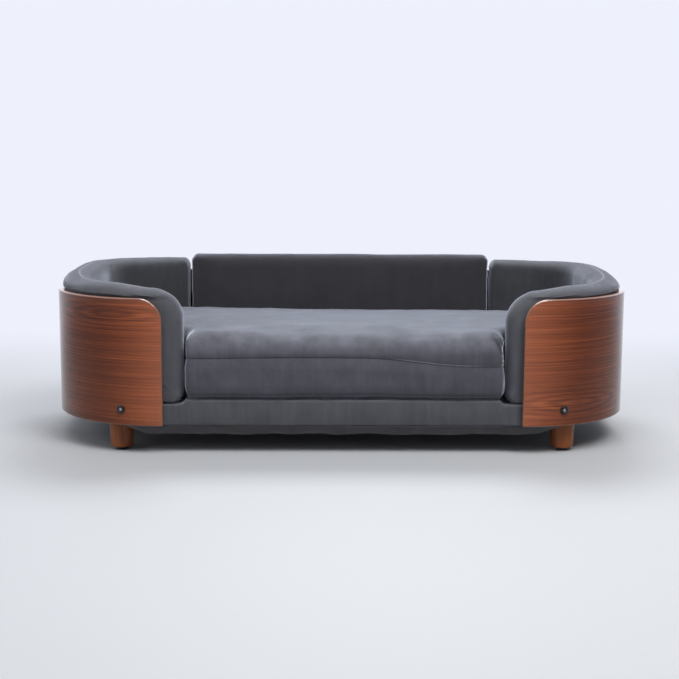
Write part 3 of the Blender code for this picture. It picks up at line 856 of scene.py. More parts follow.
@dataclass(frozen=True)
class Veneer:
    """Lacquered walnut veneer: straight fine figure along s, with one cathedral figure.

    Attributes:
        name: The material's name.
        heart: The (s, z) middle of the cathedral figure.
        shift: Moves the grain, so that two panels differ.
        dark: The colour of the late wood.
        mid: The colour of most of the wood.
        light: The colour of the early wood.
        bright: Multiplies them all. The wood is painted palest on the flat front (painted light) and dark
            on its inner face (painted shade).
    """

    name: str
    heart: tuple[float, float]
    shift: float
    dark: tuple[float, float, float] = (0.044, 0.0080, 0.0022)
    mid: tuple[float, float, float] = (0.124, 0.0240, 0.0050)
    light: tuple[float, float, float] = (0.235, 0.060, 0.016)
    bright: float = 1.0

    def make(self) -> Material:
        """Builds the material.

        The figure is the sine of a ring number: z times a pitch away from the heart, and the distance
        from the heart in a long ellipse near it, both bent by slow noise. Bands, fibres and dark pores lie
        along s over it. The front is painted pale, as painted light that falls off round the first bend,
        and the inner face dark, as painted shade.
        """
        g = Shading(self.name)
        flat = g.pattern()
        s, z = g.split(flat, 0), g.split(flat, 1)
        slow = g.noise(g.stretch(flat, (2.6, 9.0, 1.0), (self.shift, self.shift, 0.0)), 1.0, 3.0, 0.5)
        along, across = (s - self.heart[0]) / 0.105, (z - self.heart[1]) / 0.015
        ellipse = (along * along + across * across) ** 0.5 + (slow - 0.5) * 1.6
        near = 1.0 - g.fade(ellipse, 0.8, 2.6)
        straight = z * 210.0 + (slow - 0.5) * 4.5
        arches = (ellipse * 13.0).sin() * 0.5 + 0.5
        lines = (straight * 6.283).sin() * 0.5 + 0.5
        figure = lines * 0.45 + 0.27 + (arches - lines) * near * 0.8
        bands = g.noise(g.stretch(flat, (1.1, 210.0, 1.0), (self.shift, 0.0, 0.0)), 1.0, 6.0, 0.78)
        fibre = g.noise(g.stretch(flat, (7.0, 520.0, 1.0), (0.0, self.shift, 0.0)), 1.0, 3.0, 0.6)
        pores = g.noise(g.stretch(flat, (46.0, 1500.0, 1.0)), 1.0, 1.0, 0.5)
        tone = figure * 0.26 + bands * 1.32 + fibre * 0.75 - 0.67
        stops = [(0.20, self.dark), (0.52, self.mid), (0.86, self.light)]
        colour = g.ramp(tone, stops)
        colour = g.mix(g.fade(pores, 0.62, 0.74) * 0.55, colour, tuple(0.5 * c for c in self.dark))
        cloud = g.noise(g.stretch(flat, (4.0, 9.0, 1.0), (self.shift, 3.0, 0.0)), 1.0, 2.0)
        colour = g.mix((cloud - 0.35) * 0.45, colour, (0.20, 0.052, 0.010))
        # painted light: the front is painted pale and pinkish, falling off round the first bend; painted
        # shade: the inner face is painted dark
        bend = g.fade(s, 0.27, 0.42)
        pale = (1.85 - bend * 1.12) * (1.0 - g.mark("across").above(0.6) * 0.8)
        colour = g.mix((1.0 - bend) * 0.30, colour, (0.150, 0.075, 0.052))
        colour = g.scaled(colour, pale * self.bright)
        return g.dress(
            Base_Color=colour,
            Roughness=0.44 - fibre * 0.08,
            Coat_Weight=1.0,
            Coat_Roughness=0.07,
            Coat_IOR=1.33,
            Specular_IOR_Level=0.03,
            Normal=g.bump(fibre, 0.00006),
        )


@dataclass(frozen=True)
class EdgeBand:
    """The lipping glued over a bent plywood edge: pale walnut with grain along the edge.

    Attributes:
        name: The material's name.
        bright: Multiplies its colours.
    """

    name: str
    bright: float = 1.0

    def make(self) -> Material:
        """Builds the material."""
        g = Shading(self.name)
        grain = g.noise(g.stretch(g.place(), (300.0, 300.0, 300.0)), 1.0, 3.0)
        drift = g.noise(g.place(), 22.0, 2.0)
        layers = ((g.mark("across") * 40.0).sin() * 0.5 + 0.5) * 0.25
        tone = grain * 0.5 + drift * 0.4 + layers
        woods = {0.3: (0.10, 0.027, 0.010), 0.6: (0.22, 0.068, 0.024), 0.9: (0.34, 0.13, 0.05)}
        stops = [(place, tuple(self.bright * c for c in wood)) for place, wood in woods.items()]
        colour = g.ramp(tone, stops)
        return g.dress(Base_Color=colour, Roughness=0.36, Coat_Weight=0.9, Coat_Roughness=0.14)


@dataclass(frozen=True)
class Timber:
    """Solid wood whose grain runs along one axis.

    Attributes:
        name: The material's name.
        dark: The colour of the late wood.
        light: The colour of the early wood.
        squeeze: How many times closer the figure lies along X, Y and Z.
        gloss: The weight of its lacquer.
    """

    name: str
    dark: tuple[float, float, float]
    light: tuple[float, float, float]
    squeeze: tuple[float, float, float]
    gloss: float = 0.0

    def make(self) -> Material:
        """Builds the material."""
        g = Shading(self.name)
        along = g.stretch(g.place(), self.squeeze)
        bands = g.noise(along, 1.0, 5.0, 0.6)
        fibre = g.noise(along, 7.0, 3.0, 0.6)
        tone = bands * 0.8 + fibre * 0.35 - 0.08
        stops = [(0.25, self.dark), (0.75, self.light)]
        colour = g.ramp(tone, stops)
        return g.dress(
            Base_Color=colour,
            Roughness=0.52 - fibre * 0.12,
            Coat_Weight=self.gloss,
            Coat_Roughness=0.22,
            Coat_IOR=1.35,
            Specular_IOR_Level=0.15,
            Normal=g.bump(fibre, 0.0001),
        )


@dataclass(frozen=True)
class Weave:
    """A plain woven or felted cloth: two crossing sets of fine ribs with fluff between them.

    Attributes:
        name: The material's name.
        colour: The yarn's colour.
        pitch: The number of yarns to a metre.
        rough: The roughness.
        fluff: The strength of its uneven tone.
    """

    name: str
    colour: tuple[float, float, float]
    pitch: float
    rough: float = 0.9
    fluff: float = 0.5

    def make(self) -> Material:
        """Builds the material."""
        g = Shading(self.name)
        here = g.place()
        turn = 2 * math.pi * self.pitch
        warp = (g.split(here, 0) * turn).sin()
        weft = ((g.split(here, 1) + g.split(here, 2)) * turn).sin()
        ribs = (warp * weft) * 0.5 + 0.5
        uneven = g.noise(here, 38.0, 4.0, 0.6)
        tone = 0.75 + ribs * 0.3 + (uneven - 0.5) * (2.0 * self.fluff)
        colour = g.scaled(self.colour, tone)
        relief = g.bump(ribs, 0.0002)
        return g.dress(Base_Color=colour, Roughness=self.rough, Sheen_Weight=0.15, Normal=relief)


@dataclass(frozen=True)
class Foam:
    """Open cell foam, pale yellow with fine pores.

    Attributes:
        name: The material's name.
    """

    name: str

    def make(self) -> Material:
        """Builds the material."""
        g = Shading(self.name)
        here = g.place()
        pores = g.cells(here, 900.0)
        drift = g.noise(here, 14.0)
        colour = g.mix(pores, (0.70, 0.62, 0.36), (0.86, 0.80, 0.58))
        colour = g.mix(drift * 0.4, colour, (0.78, 0.66, 0.38))
        return g.dress(Base_Color=colour, Roughness=0.95, Normal=g.bump(pores, 0.0006))


@dataclass(frozen=True)
class Metal:
    """Plated or blackened steel with fine wear.

    Attributes:
        name: The material's name.
        colour: Its colour.
        rough: Its mean roughness.
        metallic: How metallic it is.
    """

    name: str
    colour: tuple[float, float, float]
    rough: float
    metallic: float = 1.0

    def make(self) -> Material:
        """Builds the material."""
        g = Shading(self.name)
        here = g.place()
        grain = g.noise(here, 700.0, 3.0)
        stain = g.noise(here, 60.0, 4.0)
        colour = g.mix(stain * 0.5, self.colour, tuple(0.6 * c for c in self.colour))
        return g.dress(
            Base_Color=colour,
            Roughness=self.rough + (grain - 0.5) * 0.25,
            Metallic=self.metallic,
            Normal=g.bump(grain, 0.00003),
        )


class Finishes:
    """Every material of the sofa, made once."""

    def __init__(self) -> None:
        """Builds them all."""
        # the grey velvet paints shade on the bolsters' inner faces and a sheen highlight on their crests
        self.velvet = Velvet("grey_velvet", (0.062, 0.063, 0.071), sheen=0.45, shade=0.45).make()
        # painted shade: the back bolster's velvet is painted darker than the grey velvet because the back
        # bolster stands in shade
        self.dark_velvet = Velvet("shaded_velvet", (0.026, 0.025, 0.029), 0.10, 0.12, 0.95).make()
        # the seat's velvet paints light on the crown and shade at the foot, in the fold and in the seams
        self.seat_velvet = Velvet("seat_velvet", (0.061, 0.062, 0.073), 0.17, 0.30, 1.0, True).make()
        self.band_velvet = Velvet("base_velvet", (0.060, 0.061, 0.069), 0.26, 0.12, 0.7).make()
        self.left_veneer = Veneer("walnut_left", (0.385, 0.236), 0.0).make()
        self.right_veneer = Veneer("walnut_right", (0.395, 0.088), 5.3).make()
        self.back_veneer = Veneer("walnut_back", (1.33, 0.170), 9.1, bright=1.1).make()
        self.edge_band = EdgeBand("walnut_edge", 0.55).make()
        # painted shade: a darker copy of the edge band for the back panel, whose edge lies in shade
        # between the bolsters
        self.back_edge = EdgeBand("walnut_back_edge", 0.35).make()
        upright, lengthwise, crosswise, layered = (60, 60, 5), (5, 60, 60), (60, 5, 60), (7, 45, 45)
        leg_dark, leg_light = (0.095, 0.0240, 0.0065), (0.270, 0.080, 0.0190)
        self.leg_wood = Timber("leg_walnut", leg_dark, leg_light, upright, 0.6).make()
        self.rail_wood = Timber("rail_pine", (0.42, 0.25, 0.11), (0.72, 0.52, 0.30), lengthwise).make()
        self.cross_wood = Timber("slat_pine", (0.40, 0.24, 0.11), (0.70, 0.51, 0.30), crosswise).make()
        self.board_wood = Timber("plain_plywood", (0.40, 0.25, 0.12), (0.66, 0.48, 0.28), layered).make()
        self.foam = Foam("seat_foam").make()
        self.dust = Weave("dust_cloth", (0.040, 0.035, 0.041), 420.0, 0.8, 0.7).make()
        self.tape = Weave("hook_tape", (0.030, 0.030, 0.033), 500.0, 0.75, 0.3).make()
        self.zip_tape = Weave("zip_tape", (0.045, 0.046, 0.052), 1400.0, 0.8, 0.3).make()
        self.black = Metal("blackened_steel", (0.050, 0.050, 0.052), 0.16, 1.0).make()
        self.gunmetal = Metal("zip_metal", (0.16, 0.16, 0.17), 0.3).make()
        self.zinc = Metal("zinc_steel", (0.62, 0.63, 0.65), 0.38).make()
        self.plastic = Metal("black_plastic", (0.014, 0.014, 0.015), 0.5, 0.0).make()


# ---- shell
def show(piece: Piece, body: str, slot: str, *nodes: str) -> Piece:
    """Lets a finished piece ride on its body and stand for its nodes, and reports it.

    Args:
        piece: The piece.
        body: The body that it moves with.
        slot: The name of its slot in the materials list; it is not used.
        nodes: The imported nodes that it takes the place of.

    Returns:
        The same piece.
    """
    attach(piece, body)
    if nodes:
        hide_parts(*nodes)
    LOG.info("%s: %d faces, on %s, for %s", piece.name, len(piece.data.polygons), body, ", ".join(nodes))
    return piece


def dress_node(node: str, material: Material) -> None:
    """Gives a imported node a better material."""
    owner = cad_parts[node]
    if not owner.data.materials:
        owner.data.materials.append(material)
    for slot in owner.material_slots:
        slot.material = material
    LOG.info("%s: dressed in %s", node, material.name)


def leg_axis(place: Place) -> Matrix:
    """The matrix of a leg's axis, from the floor up."""
    low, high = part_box(f"leg_{place.word}")
    return Matrix.Translation(((low.x + high.x) / 2, (low.y + high.y) / 2, 0.0))


def facing(point: tuple[float, float], normal: tuple[float, float], z: float) -> Matrix:
    """A matrix at a place on the outer line, whose +Z runs inwards through the panel."""
    inward = Vector((-normal[0], -normal[1], 0.0))
    turn = inward.to_track_quat("Z", "Y").to_matrix().to_4x4()
    return Matrix.Translation((point[0], point[1], z)) @ turn


@dataclass(frozen=True)
class Bolts:
    """The six socket-head bolts that hold the panels to the base.

    Attributes:
        line: The outer line.
        angle: Where the side panels' bolts are on the bends, from the front or back.
        height: Their height.
        back_x: Where the two back bolts are.
        back_sink: How deep their heads are let in.
        head: The head's radius.
        head_height: The head's height.
        shank: The shank's radius.
        length: How far the shank reaches inwards from the outer line.
        rim: How wide the rounding of the head's rim is.
        rim_drop: How deep that rounding is.
        bevel: The width of the small bevels at the socket and under the head.
        apothem: Half of the width of the hexagonal socket.
        socket: The depth of the socket.
        sides: How many points go round.
    """

    line: OuterLine
    angle: float = math.radians(20)
    height: float = 0.0765
    back_x: float = 0.180
    back_sink: float = 0.0036
    head: float = 0.007
    head_height: float = 0.003
    shank: float = 0.003
    length: float = 0.032
    rim: float = 0.0022
    rim_drop: float = 0.0011
    bevel: float = 0.0003
    apothem: float = 0.0025
    socket: float = 0.0020
    sides: int = 72

    def places(self) -> dict[str, Matrix]:
        """The matrix of each bolt, with its axis inwards."""
        made = {}
        for place in Place:
            side, end = place.value
            normal = (side * math.sin(self.angle), end * math.cos(self.angle))
            x = side * self.line.bend_x + self.line.radius * normal[0]
            y = end * self.line.bend_y + self.line.radius * normal[1]
            made[place.word] = facing((x, y), normal, self.height)
        for side in Side:
            point = (side.value * self.back_x, self.line.half_depth - self.back_sink)
            made[f"back_{side.word}"] = facing(point, (0.0, 1.0), self.height)
        return made

    def surface(self) -> np.ndarray:
        """The bolt as a stack of rings from the middle of the socket to the shank's tip.

        A ring's radius is its own, or in the socket the hexagon's: apothem / cos of the angle from the
        nearest flat. The rim is a quarter ellipse, and the socket's floor a shallow cone.
        """
        angle = 2 * math.pi * np.arange(self.sides) / self.sides
        from_flat = np.mod(angle + math.pi / 6, math.pi / 3) - math.pi / 6
        hexagon = self.apothem / np.cos(from_flat)
        outside = -CLEAR - self.head_height
        floor = outside + self.socket
        flat_face, cone, tip, point = 0.0042, 0.0005, 0.0008, 0.0007
        rings = [(0.0, floor + cone), (0.985 * hexagon, floor), (hexagon, floor - 0.0001)]
        rings += [(hexagon, outside + self.bevel), (hexagon + self.bevel, outside), (flat_face, outside)]
        for out in round_off(7)[1]:
            narrow = self.rim * (1 - math.sqrt(out * (2 - out)))
            rings.append((self.head - narrow, outside + self.rim_drop * out))
        rings += [(self.head, -CLEAR - self.bevel), (self.head - self.bevel, -CLEAR)]
        rings += [(self.shank, -CLEAR), (self.shank, self.length - tip)]
        rings += [(self.shank - point, self.length), (0.0, self.length)]
        turn = np.stack([np.cos(angle), np.sin(angle), 0 * angle], -1)
        up = np.array([0.0, 0.0, 1.0])
        return np.stack([(0 * angle + radius)[:, None] * turn + up * z for radius, z in rings])

    def brighten(self, bolt: Piece, matrix: Matrix) -> None:
        """Gives the floor of the socket the bolt's second, bright material, as a painted glint."""
        back = matrix.inverted()
        for face in bolt.data.polygons:
            place = back @ face.center
            in_socket = -CLEAR - self.head_height + 0.5 * self.socket < place.z < 0.0
            if in_socket and math.hypot(place.x, place.y) < 0.98 * self.apothem:
                face.material_index = 1

    def build(self, finishes: Finishes) -> None:
        """Makes the bolts."""
        surface = self.surface()
        for place, matrix in self.places().items():
            # the zinc on the socket's floor is a painted glint
            skins = [finishes.black, finishes.zinc]
            bolt = put_rings(f"socket_bolt_{place}", surface, skins, matrix, 30.0)
            self.brighten(bolt, matrix)
            show(bolt, "frame", "black_metal", f"panel_bolt_{place}")
            dress_node(f"panel_insert_{place}", finishes.zinc)


@dataclass(frozen=True)
class Shell:
    """The two bent side panels and the flat back panel.

    Attributes:
        line: The outer line.
        bottom: The height of the lower edge.
        top: The height of the upper edge.
        edge_x: Where the free front edges are.
        joint_x: Where the side panels meet the back panel.
        corner: The radius of the free upper corner.
        lip: The rounding of every edge.
        hole: The radius of the bolt holes.
    """

    line: OuterLine
    bottom: float
    top: float
    edge_x: float
    joint_x: float
    corner: float = 0.040
    lip: float = 0.0021
    hole: float = 0.0033

    @property
    def square(self) -> float:
        """The radius of a corner that looks square."""
        return 1.25 * self.lip

    def slab(self, start: float, end: float, corner: float) -> Slab:
        """A sheet of the shell's height.

        Args:
            start: The s of its first end.
            end: The s of its other end.
            corner: The radius of its upper corner at the first end.

        Returns:
            The sheet, PLY thick, with its outer face on the outer line.
        """
        radii = (self.square, self.square, self.square, corner)
        outline = Outline((start, self.bottom), (end, self.top), radii, 0.005, 14)
        band = PLY - 2.5 * self.lip
        return Slab(self.line, outline, 0.0, PLY, (self.lip,) * 4, flat=band, rings=14, steps=3)

    def build(self, finishes: Finishes, bolts: Bolts) -> None:
        """Makes the three panels with their bolt holes, and dresses what joins them."""
        places = bolts.places()
        through = [(0.0, -PLY), (self.hole, -PLY), (self.hole, 2 * PLY), (0.0, 2 * PLY)]
        veneers = {Side.LEFT: finishes.left_veneer, Side.RIGHT: finishes.right_veneer}
        end = self.line.half_length - self.joint_x
        for side in Side:
            slab = self.slab(self.edge_x, end, self.corner)
            panel = slab.build(f"walnut_panel_{side.word}", side, [veneers[side], finishes.edge_band])
            for place in (f"front_{side.word}", f"rear_{side.word}"):
                bore(panel, places[place], through)
            steady_shading(panel)
            show(panel, "frame", "walnut", f"side_panel_{side.word}")
        slab = self.slab(end + CLEAR, 2 * self.line.half_length - end - CLEAR, self.square)
        # the back panel's edge gets the edge band with painted shade
        back = slab.build("walnut_panel_back", Side.RIGHT, [finishes.back_veneer, finishes.back_edge])
        wide = bolts.head + 2 * CLEAR
        sink = [(0.0, -PLY), (wide, -PLY), (wide, 0.0), (0.0, 0.0)]
        for side in Side:
            place = places[f"back_{side.word}"]
            bore(back, place, through)
            bore(back, place, sink)
            dress_node(f"joining_plate_{side.word}", finishes.zinc)
        steady_shading(back)
        show(back, "frame", "walnut", "back_panel")
        self.strips(finishes)

    def strips(self, finishes: Finishes) -> None:
        """Makes the hook strips inside the three panels."""
        low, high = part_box("hook_strip_back")
        lips, radii = (0.0004,) * 4, (0.003,) * 4
        runs = {side.word: (self.line.bend_x, self.line.half_length - self.line.bend_x) for side in Side}
        runs["back"] = (self.line.half_length - high.x, self.line.half_length + high.x)
        for word, (start, end) in runs.items():
            outline = Outline((start, low.z), (end, high.z), radii, 0.006, 6)
            slab = Slab(self.line, outline, PLY + CLEAR, 0.0016, lips, flat=0.0006, rings=4, steps=2)
            side = Side.LEFT if word == "left" else Side.RIGHT
            tape = slab.build(f"hook_tape_{word}", side, [finishes.tape])
            show(tape, "frame", "tape", f"hook_strip_{word}")


# ---- legs
@dataclass(frozen=True)
class Legs:
    """Four turned legs with glides.

    Attributes:
        top_radius: The radius under the base.
        foot_radius: The radius at the foot.
        top: The height of the upper end.
        foot: The height of the lower end.
        edge: The rounding of the lower edge.
        bevel: The height of the small bevel at the top.
        glide_radius: The glide's radius.
        glide_height: The glide's height.
        glide_edge: The rounding of its lower edge.
        hole: The radius of the hole for the hanger bolt.
        hole_depth: The depth of that hole.
    """

    top_radius: float = 0.021
    foot_radius: float = 0.019
    top: float = 0.0488
    foot: float = 0.0053
    edge: float = 0.0022
    bevel: float = 0.0008
    glide_radius: float = 0.010
    glide_height: float = 0.005
    glide_edge: float = 0.0012
    hole: float = 0.0043
    hole_depth: float = 0.026

    def leg_profile(self) -> np.ndarray:
        """Up from the foot: a quarter round edge, a straight taper, a small top edge and the bolt hole."""
        fall, spread = round_off(7)
        foot = np.stack([self.foot_radius - self.edge * fall, self.foot + self.edge * spread], -1)
        share = np.linspace(0.0, 1.0, 10)[1:]
        rise = self.foot + self.edge + share * (self.top - self.bevel - self.foot - self.edge)
        body = np.stack([self.foot_radius + share * (self.top_radius - self.foot_radius), rise], -1)
        end = self.top - self.hole_depth
        top = [(self.top_radius - 0.0006, self.top), (self.hole, self.top), (self.hole, end), (0.0, end)]
        return np.concatenate([[(0.0, self.foot)], foot, body, top])

    def glide_profile(self) -> np.ndarray:
        """Up from the floor: a flat foot, a quarter round and a straight side."""
        fall, spread = round_off(5)
        rim = np.stack([self.glide_radius - self.glide_edge * fall, self.glide_edge * spread], -1)
        top = [(self.glide_radius, self.glide_height), (0.0, self.glide_height)]
        return np.concatenate([[(0.0, 0.0)], rim, top])

    def build(self, finishes: Finishes) -> None:
        """Makes the legs and glides and dresses their fixings."""
        for place in Place:
            axis = leg_axis(place)
            leg = turned(f"turned_leg_{place.word}", self.leg_profile(), 72, [finishes.leg_wood], axis)
            show(leg, "frame", "leg_wood", f"leg_{place.word}")
            glide = turned(f"foot_glide_{place.word}", self.glide_profile(), 48, [finishes.plastic], axis)
            show(glide, "frame", "glide_plastic", f"glide_{place.word}")
            dress_node(f"leg_bolt_{place.word}", finishes.zinc)
            dress_node(f"tee_nut_{place.word}", finishes.zinc)


# ---- base
@dataclass(frozen=True)
class Base:
    """The upholstered base, with the dust cover under it.

    Attributes:
        line: The outer line.
        hem: The height of the hem under the rails.
        shelf: The height of the top under the bolsters.
        well: The height of the padded top under the seat.
        well_inset: How far inside the outer line the padded top begins.
        tongue: Half of the width of the padded top where it reaches the front.
        edge: The rounding of the upper edge.
        hem_width: How far the hem reaches inwards.
        sag: How deep the dust cover hangs.
        sag_run: How far from its edge it hangs that deep.
        inner: The depth of the last ring that follows the outer line.
        turn_edge: The rounding of the cover's lower edge.
        columns: How many points go round.
    """

    line: OuterLine
    hem: float = 0.0491
    shelf: float = 0.0837
    well: float = 0.0910
    well_inset: float = 0.0655
    tongue: float = 0.265
    edge: float = 0.0032
    hem_width: float = 0.015
    sag: float = 0.0225
    sag_run: float = 0.050
    inner: float = 0.185
    turn_edge: float = 0.0016
    columns: int = 720

    def loop(self) -> np.ndarray:
        """Even distances all round the outer line, the same number on each half."""
        return 2 * self.line.half_length * np.arange(self.columns) / self.columns

    def closing(self, height: np.ndarray) -> np.ndarray:
        """Rings that close a surface on the line y = 0, from the ring at the inner depth and a height."""
        s = self.loop()
        ring = self.line.place(s, 0 * s + self.inner, height)
        middle = ring * (1.0, 0.0, 1.0)
        middle[:, 0] = np.clip(middle[:, 0], -self.line.bend_x, self.line.bend_x)
        share = np.linspace(0.0, 1.0, 7)[1:, None, None]
        return ring * (1 - share) + middle * share

    def cover(self) -> np.ndarray:
        """The cover as a grid: rows run from the hem, up the band and over its edge to the middle.

        Both edges are quarter rounds. The top steps up from the shelf to the well along a cubic, and the
        band is as high as the well between the arms, where the well reaches the front. The band waves
        outwards and the top upwards, by two random draws.
        """
        s = self.loop()
        front = np.minimum(s, 2 * self.line.half_length - s)
        tongue = 1.0 - smooth(front, self.tongue - 0.002, self.tongue + 0.002)
        top = self.shelf + (self.well - self.shelf) * tongue
        rows = [(0 * s + COVER_INSET + self.hem_width, 0 * s + self.hem)]
        for fall, spread in zip(*round_off(5)):
            depth = COVER_INSET + self.turn_edge * fall
            rows.append((0 * s + depth, 0 * s + self.hem + self.turn_edge * spread))
        foot = self.hem + self.turn_edge
        for share in np.linspace(0.0, 1.0, 10)[1:-1]:
            swell = 0.0012 * math.sin(math.pi * share) * tongue
            rows.append((COVER_INSET - swell, foot + share * (top - self.edge - foot)))
        for fall, spread in zip(*round_off(7)):
            rows.append((0 * s + COVER_INSET + self.edge * spread, top - self.edge * fall))
        band_rows = len(rows)
        level = (0.020, 0.030, 0.042, 0.054, 0.061)
        step_up = (0.063, 0.064, 0.065, 0.066, 0.067, 0.068, 0.070)
        for depth in (*level, *step_up, 0.085, 0.110, 0.135, 0.160, self.inner):
            step = smooth(np.array(depth), self.well_inset - 0.0015, self.well_inset + 0.0015)
            rows.append((0 * s + depth, np.maximum(top, self.shelf + (self.well - self.shelf) * step)))
        grid = np.stack([self.line.place(s, depth, height) for depth, height in rows])
        grid = np.concatenate([grid, self.closing(rows[-1][1])])
        soft = waves(grid.reshape(-1, 3), 0.055, 11).reshape(grid.shape[:2]) * 0.00045
        soft += waves(grid.reshape(-1, 3), 0.016, 12).reshape(grid.shape[:2]) * 0.00014
        _, normal = self.line.at(s)
        band = np.arange(len(grid)) < band_rows
        grid[..., :2] += np.where(band[:, None], soft, 0.0)[..., None] * normal[None]
        grid[..., 2] += np.where(band[:, None], 0.0, soft)
        return grid

    def dust(self) -> np.ndarray:
        """The dust cover as a grid from its stapled edge to the middle.

        It drops by sag times 1 - (1 - t)^2.4 over the run, with folds that widen and fade inwards from
        the staples and a slow swell over the middle.
        """
        s = self.loop()
        start = COVER_INSET + CLEAR
        depths = start + self.sag_run * np.linspace(0.0, 1.0, 15) ** 1.5
        depths = np.concatenate([depths, [0.085, 0.110, 0.135, 0.160, self.inner]])
        depth = depths[:, None] + 0 * s[None]
        share = np.clip((depth - start) / self.sag_run, 0.0, 1.0)
        angle = s * 2 * math.pi / s[-1]
        ring = np.stack([np.cos(angle), np.sin(angle), 0 * s], -1) * 0.43
        folds = waves(ring, 0.075, 21, 9)[None] * 0.0009 + waves(ring, 0.022, 22, 9)[None] * 0.0004
        point, _ = self.line.at(s)
        hang = 1.0 - 0.80 * smooth(np.abs(point[:, 0]), 0.325, 0.415)[None]
        height = self.hem - CLEAR - CLOTH_T / 2 - self.sag * hang * (1 - (1 - share) ** 2.4)
        height = height + folds * np.sin(math.pi * np.clip(share * 0.9, 0, 1)) ** 0.7
        grid = self.line.place(s[None] + 0 * depth, depth, height)
        grid = np.concatenate([grid, self.closing(height[-1])])
        middle = smooth(np.linalg.norm(grid[..., :2] / (0.48, 0.24), axis=-1), 1.0, 0.6)
        grid[..., 2] += waves(grid.reshape(-1, 3), 0.16, 23).reshape(grid.shape[:2]) * 0.0012 * middle
        return grid

    def cloth(self, name: str, grid: np.ndarray, thick: float, finish: Material) -> Piece:
        """Makes a piece of cloth.

        Args:
            name: The piece's name.
            grid: The rings through the middle of its thickness.
            thick: Its thickness.
            finish: Its material.

        Returns:
            The new object.
        """
        faces = grid_faces(len(grid), self.columns)
        piece = put_mesh(name, grid, faces, [finish], sharp=60.0)
        solid = piece.modifiers.new("cloth thickness", "SOLIDIFY")
        solid.thickness = thick
        solid.offset = 0.0
        settle(piece)
        return piece

    def build(self, finishes: Finishes) -> None:
        """Makes the cover and the dust cover and dresses the frame inside."""
        cover = self.cloth("base_upholstery", self.cover(), 0.0006, finishes.band_velvet)
        show(cover, "frame", "velvet", "base_cover")
        dust = self.cloth("dust_sheet", self.dust(), 0.0007, finishes.dust)
        for place in Place:
            low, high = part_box(f"leg_{place.word}")
            wide = (high.x - low.x) / 2 + 0.002
            hole = [(0.0, 0.0), (wide, 0.0), (wide, self.shelf), (0.0, self.shelf)]
            bore(dust, leg_axis(place), hole)
        show(dust, "frame", "dust_cloth", "dust_cover")
        inset = COVER_INSET + CLEAR
        width, depth = 2 * (self.line.half_width - inset), 2 * (self.line.half_depth - inset)
        area = width * depth - (4 - math.pi) * (self.line.radius - inset) ** 2
        rails = ["front_rail", "rear_rail"]
        for side in Side:
            dress_node(f"end_rib_{side.word}", finishes.rail_wood)
            dress_node(f"cross_slat_{side.word}", finishes.cross_wood)
        for rail in rails:
            dress_node(rail, finishes.rail_wood)
        dress_node("cross_slat_middle", finishes.cross_wood)
        dress_node("deck_board", finishes.board_wood)
        dress_node("base_pad", finishes.foam)


